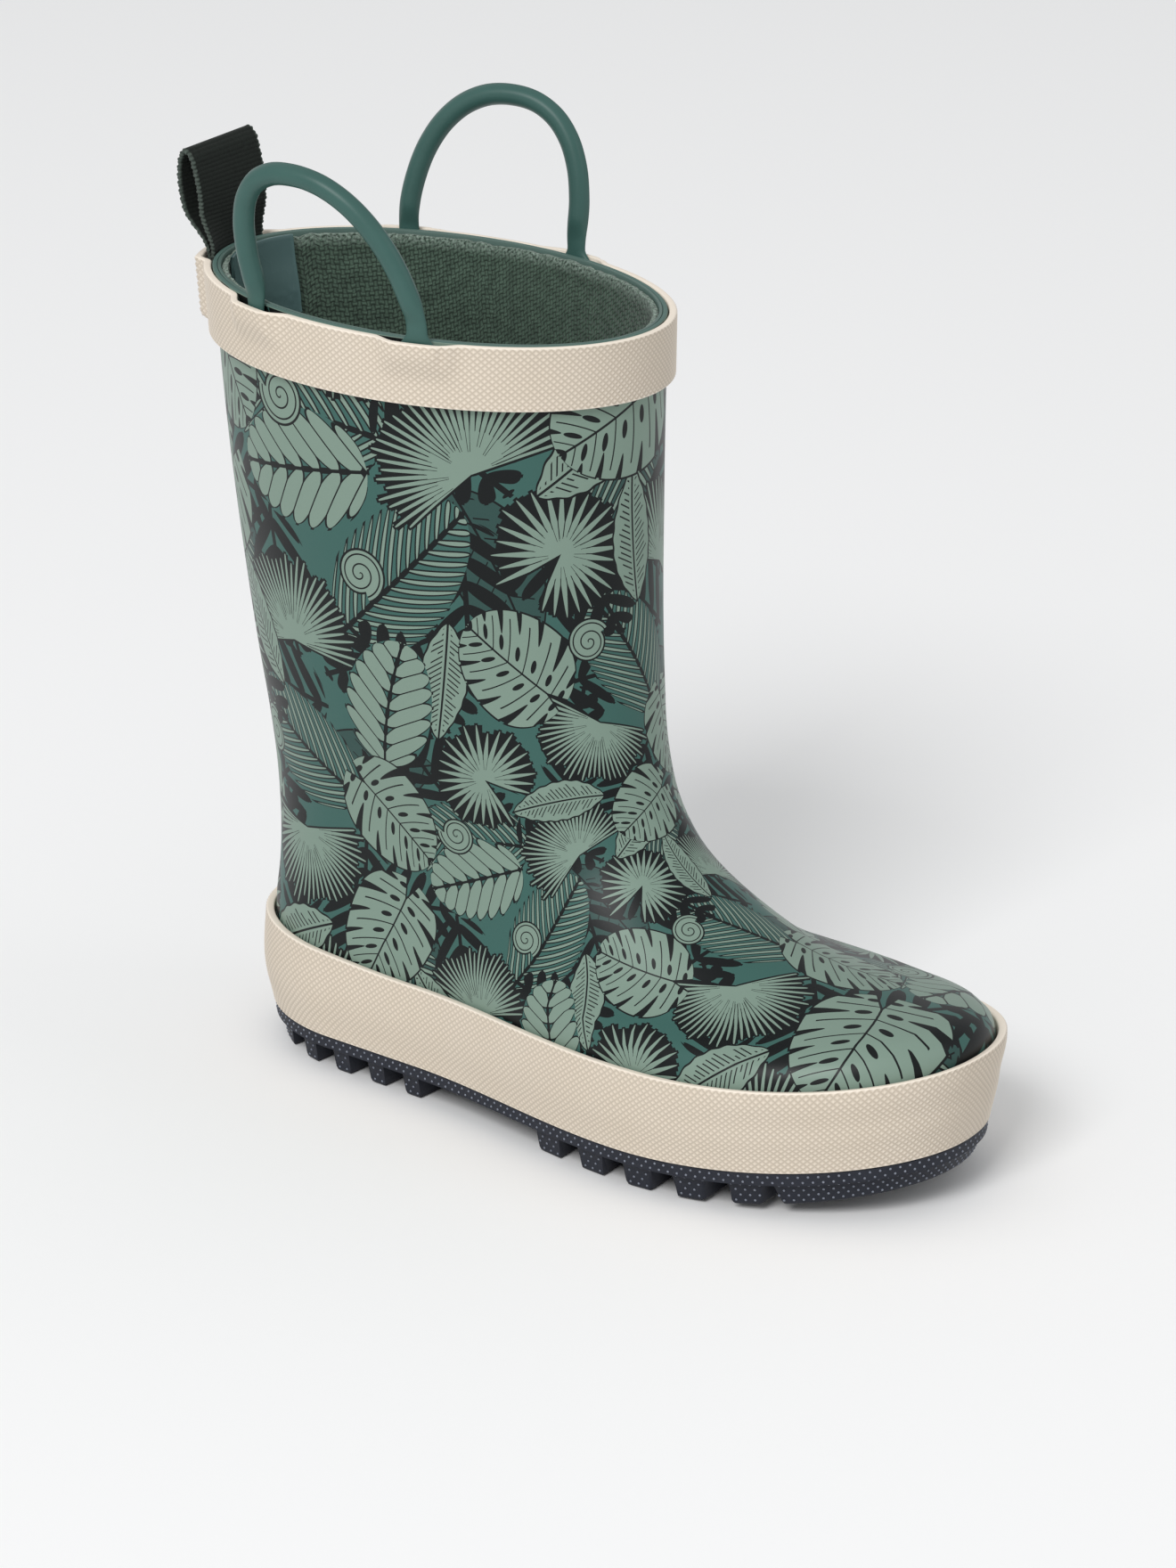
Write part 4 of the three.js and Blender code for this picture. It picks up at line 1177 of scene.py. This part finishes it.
for side, (first_column, second_column) in handle_columns.items():
    leg_turns = [first_column * column_angle, second_column * column_angle]
    feet = [wall_point(turn, rim, clearance + tab_thick / 2) for turn in leg_turns]
    tabs = [wall_point(turn, rim - tab_depth, 2 * clearance) for turn in leg_turns]
    bend = [foot + np.array([0, 0, bend_high]) for foot in feet]
    middle = (bend[0] + bend[1]) / 2
    reach = bend[0] - middle
    lean = np.array([*handle_lean[side], 0])
    arch = []
    for k in range(13):
        turn = math.pi * k / 12
        along = math.copysign(abs(math.cos(turn)) ** 0.9, math.cos(turn))
        arch.append(middle + reach * along + lean * math.sin(turn)
                    + np.array([0, 0, handle_high[side]]) * math.sin(turn) ** 0.85)
    route = [tabs[0], mix(tabs[0], feet[0], 0.5), mix(tabs[0], feet[0], 0.93), *arch,
             mix(tabs[1], feet[1], 0.93), mix(tabs[1], feet[1], 0.5), tabs[1]]
    line_points = smooth_line(route, cord_steps)
    tangent = np.gradient(line_points, axis=0)
    tangent /= np.linalg.norm(tangent, axis=1, keepdims=True)
    out = np.cross(reach, [0, 0, 1.0])
    out /= np.linalg.norm(out)
    low_share = ease(line_points[:, 2], rim - 5.0, rim + 2.5)[:, None]
    shallow = ease(line_points[:, 2], rim - tab_depth, rim - 4.0)[:, None]
    wall_out = [wall_point(turn, rim, 1.0) - wall_point(turn, rim, 0.0) for turn in leg_turns]
    first_half = np.arange(cord_steps)[:, None] < cord_steps / 2
    wall = np.where(first_half, wall_out[0], wall_out[1])
    if wall[0] @ out < 0:
        out = -out
    normal = mix(wall, out, low_share)
    normal -= tangent * (normal * tangent).sum(1, keepdims=True)
    normal /= np.linalg.norm(normal, axis=1, keepdims=True)
    flat = np.cross(normal, tangent)
    round_share = ease(line_points[:, 2], rim - 1.5, rim + 3.8)[:, None]
    wide = mix(tab_half, cord_radius, ease(line_points[:, 2], rim - 6.5, rim - 3.0)[:, None])
    thick = mix(mix(0.3, tab_thick / 2, shallow), cord_radius, round_share)
    points = []
    for k in range(cord_sides):
        turn = 2 * math.pi * k / cord_sides
        ridge = 1 + 0.07 * (k % (cord_sides // 2) == 0) * round_share
        points.append(line_points + flat * wide * ridge * math.cos(turn)
                      + normal * thick * math.sin(turn))
    points = np.stack(points, 1)
    index = np.arange(cord_steps * cord_sides).reshape(cord_steps, cord_sides)
    after = np.roll(index, -1, 1)
    faces = np.stack([index[:-1], after[:-1], after[1:], index[1:]], -1).reshape(-1, 4).tolist()
    faces += [index[0, ::-1].tolist(), index[-1].tolist()]
    handle = make_piece("handle_cord_" + side, points, faces, moulded_green, None)
    at = middle * MM
    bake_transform(handle)
    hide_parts("handle_" + side, "handle_" + side + "_end_1",
                "handle_" + side + "_end_2")

# ---- Pull loop ---------------------------------------------------------------------------------
# A length of dark green grosgrain, folded once, both ends cemented under the band. Its ribs run
# across it 0.9 mm apart, and the weft's turns make a pale twisted edge.
tape_wide = 20.0
tape_thick = 1.1
tape_rib = 0.9
loop_high = 22.0
loop_open = 2.4
loop_lean = math.radians(8)
tucked_in = 12.0
foot = wall_point(0.0, rim, clearance + tuck_thick / 2)
loop_line = [(-0.55, -12.0), (-0.55, -6.0), (-0.55, -1.0), (-1.0, 2.5), (-loop_open, 8.0),
             (-loop_open - 0.3, 13.0), (-loop_open + 0.2, 18.0), (-1.5, 20.9), (-0.1, loop_high),
             (1.3, 20.6), (loop_open, 17.5), (loop_open + 0.4, 12.0), (loop_open - 0.3, 7.0),
             (0.9, 2.0), (0.55, -1.0), (0.55, -6.0), (0.55, -12.0)]
tape_steps = 560
run = smooth_line([(0, across, up) for across, up in loop_line], tape_steps)[:, 1:]
slope = np.gradient(run, axis=0)
slope /= np.linalg.norm(slope, axis=1, keepdims=True)
across = np.stack([-slope[:, 1], slope[:, 0]], 1)
length = np.concatenate([[0], np.cumsum(np.linalg.norm(np.diff(run, axis=0), axis=1))])
rib = np.abs(np.sin(math.pi * length / tape_rib)) ** 0.8
tape_columns = np.concatenate([[-1, -0.985, -0.96, -0.93], np.linspace(-0.88, 0.88, 15),
                               [0.93, 0.96, 0.985, 1]])
edge = np.abs(tape_columns) > 0.94
faces_of_tape = []
for face_side in (1, -1):
    relief = rib * 0.14
    bead = np.abs(np.sin(math.pi * length / tape_rib + 0.8)) * 0.3
    thick = np.where(edge[None, :], 0.28 + bead[:, None], tape_thick / 2 - 0.14 + relief[:, None])
    thick = thick * np.where(np.abs(tape_columns) > 0.99, 0.35, 1.0)[None, :]
    place = run[:, None] + across[:, None] * thick[..., None] * face_side
    wave = 0.12 * np.sin(math.pi * length / tape_rib)[:, None] * edge[None, :] * np.sign(
        tape_columns)[None, :]
    x = np.broadcast_to(tape_columns * tape_wide / 2, place.shape[:2]) + wave
    faces_of_tape.append(np.stack([x, place[..., 0], place[..., 1]], -1))
around_back = np.linspace(0.5, -0.5, 41)
walls = []
for level in (rim, rim - tucked_in):
    wall = skin(np.full(41, level), around_back, np.full(41, clearance + tuck_thick / 2))
    walls.append(wall[np.argsort(wall[:, 0])])
points = []
for sheet_of_points in faces_of_tape:
    x, y, z = np.moveaxis(sheet_of_points, -1, 0)
    above = np.clip(z, 0, None)
    bends = [np.interp(x + foot[0], wall[:, 0], wall[:, 1]) - foot[1] for wall in walls]
    y = y + mix(bends[0], bends[1], np.clip(-z / tucked_in, 0, 1)) * (1 - ease(z, 0.5, 9.0))
    y = y + above * math.tan(loop_lean) + 0.0012 * x * above
    z = z + 0.004 * x * above
    points.append(np.stack([x * (1 + 0.002 * above), y, z], -1) + foot)
faces = joined_sheets(tape_steps, len(tape_columns))

webbing, tree, shader = new_finish("dark green grosgrain")
place = add(tree, "TexCoord").node.outputs["Object"]
threads = add(tree, "TexNoise", Vector=add(tree, "VectorMath MULTIPLY", place, (3200, 900, 1500)),
              Scale=1.0, Detail=3.0)
pale = add(tree, "Attribute", attribute_name="selvedge").node.outputs["Fac"]
body_colour = add(tree, "Mix", threads, linear("#070a08"), linear("#1d241f"), data_type="RGBA")
edge_colour = add(tree, "Mix", threads, linear("#222a25"), linear("#5a655e"), data_type="RGBA")
tree.links.new(add(tree, "Mix", pale, body_colour, edge_colour, data_type="RGBA"),
               shader.inputs["Base Color"])
bump = add(tree, "Bump", Height=threads, Strength=0.5, Distance=0.0001)
tree.links.new(bump, shader.inputs["Normal"])
shader.inputs["Roughness"].default_value = 0.8
shader.inputs["Specular IOR Level"].default_value = 0.2
shader.inputs["Sheen Weight"].default_value = 0.05

loop = make_piece("loop_webbing_fold", np.concatenate(points), faces, webbing, None)
face_outwards(loop)
edge_value = np.tile((np.abs(tape_columns) > 0.95).astype(float), tape_steps * 2)
edge_value *= np.tile(np.repeat(0.35 + 0.65 * rib, len(tape_columns)), 2)
layer = loop.data.attributes.new("selvedge", "FLOAT", "POINT")
layer.data.foreach_set("value", edge_value)
at = foot * MM
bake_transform(loop)
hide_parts("pull_loop", "pull_loop_ends")
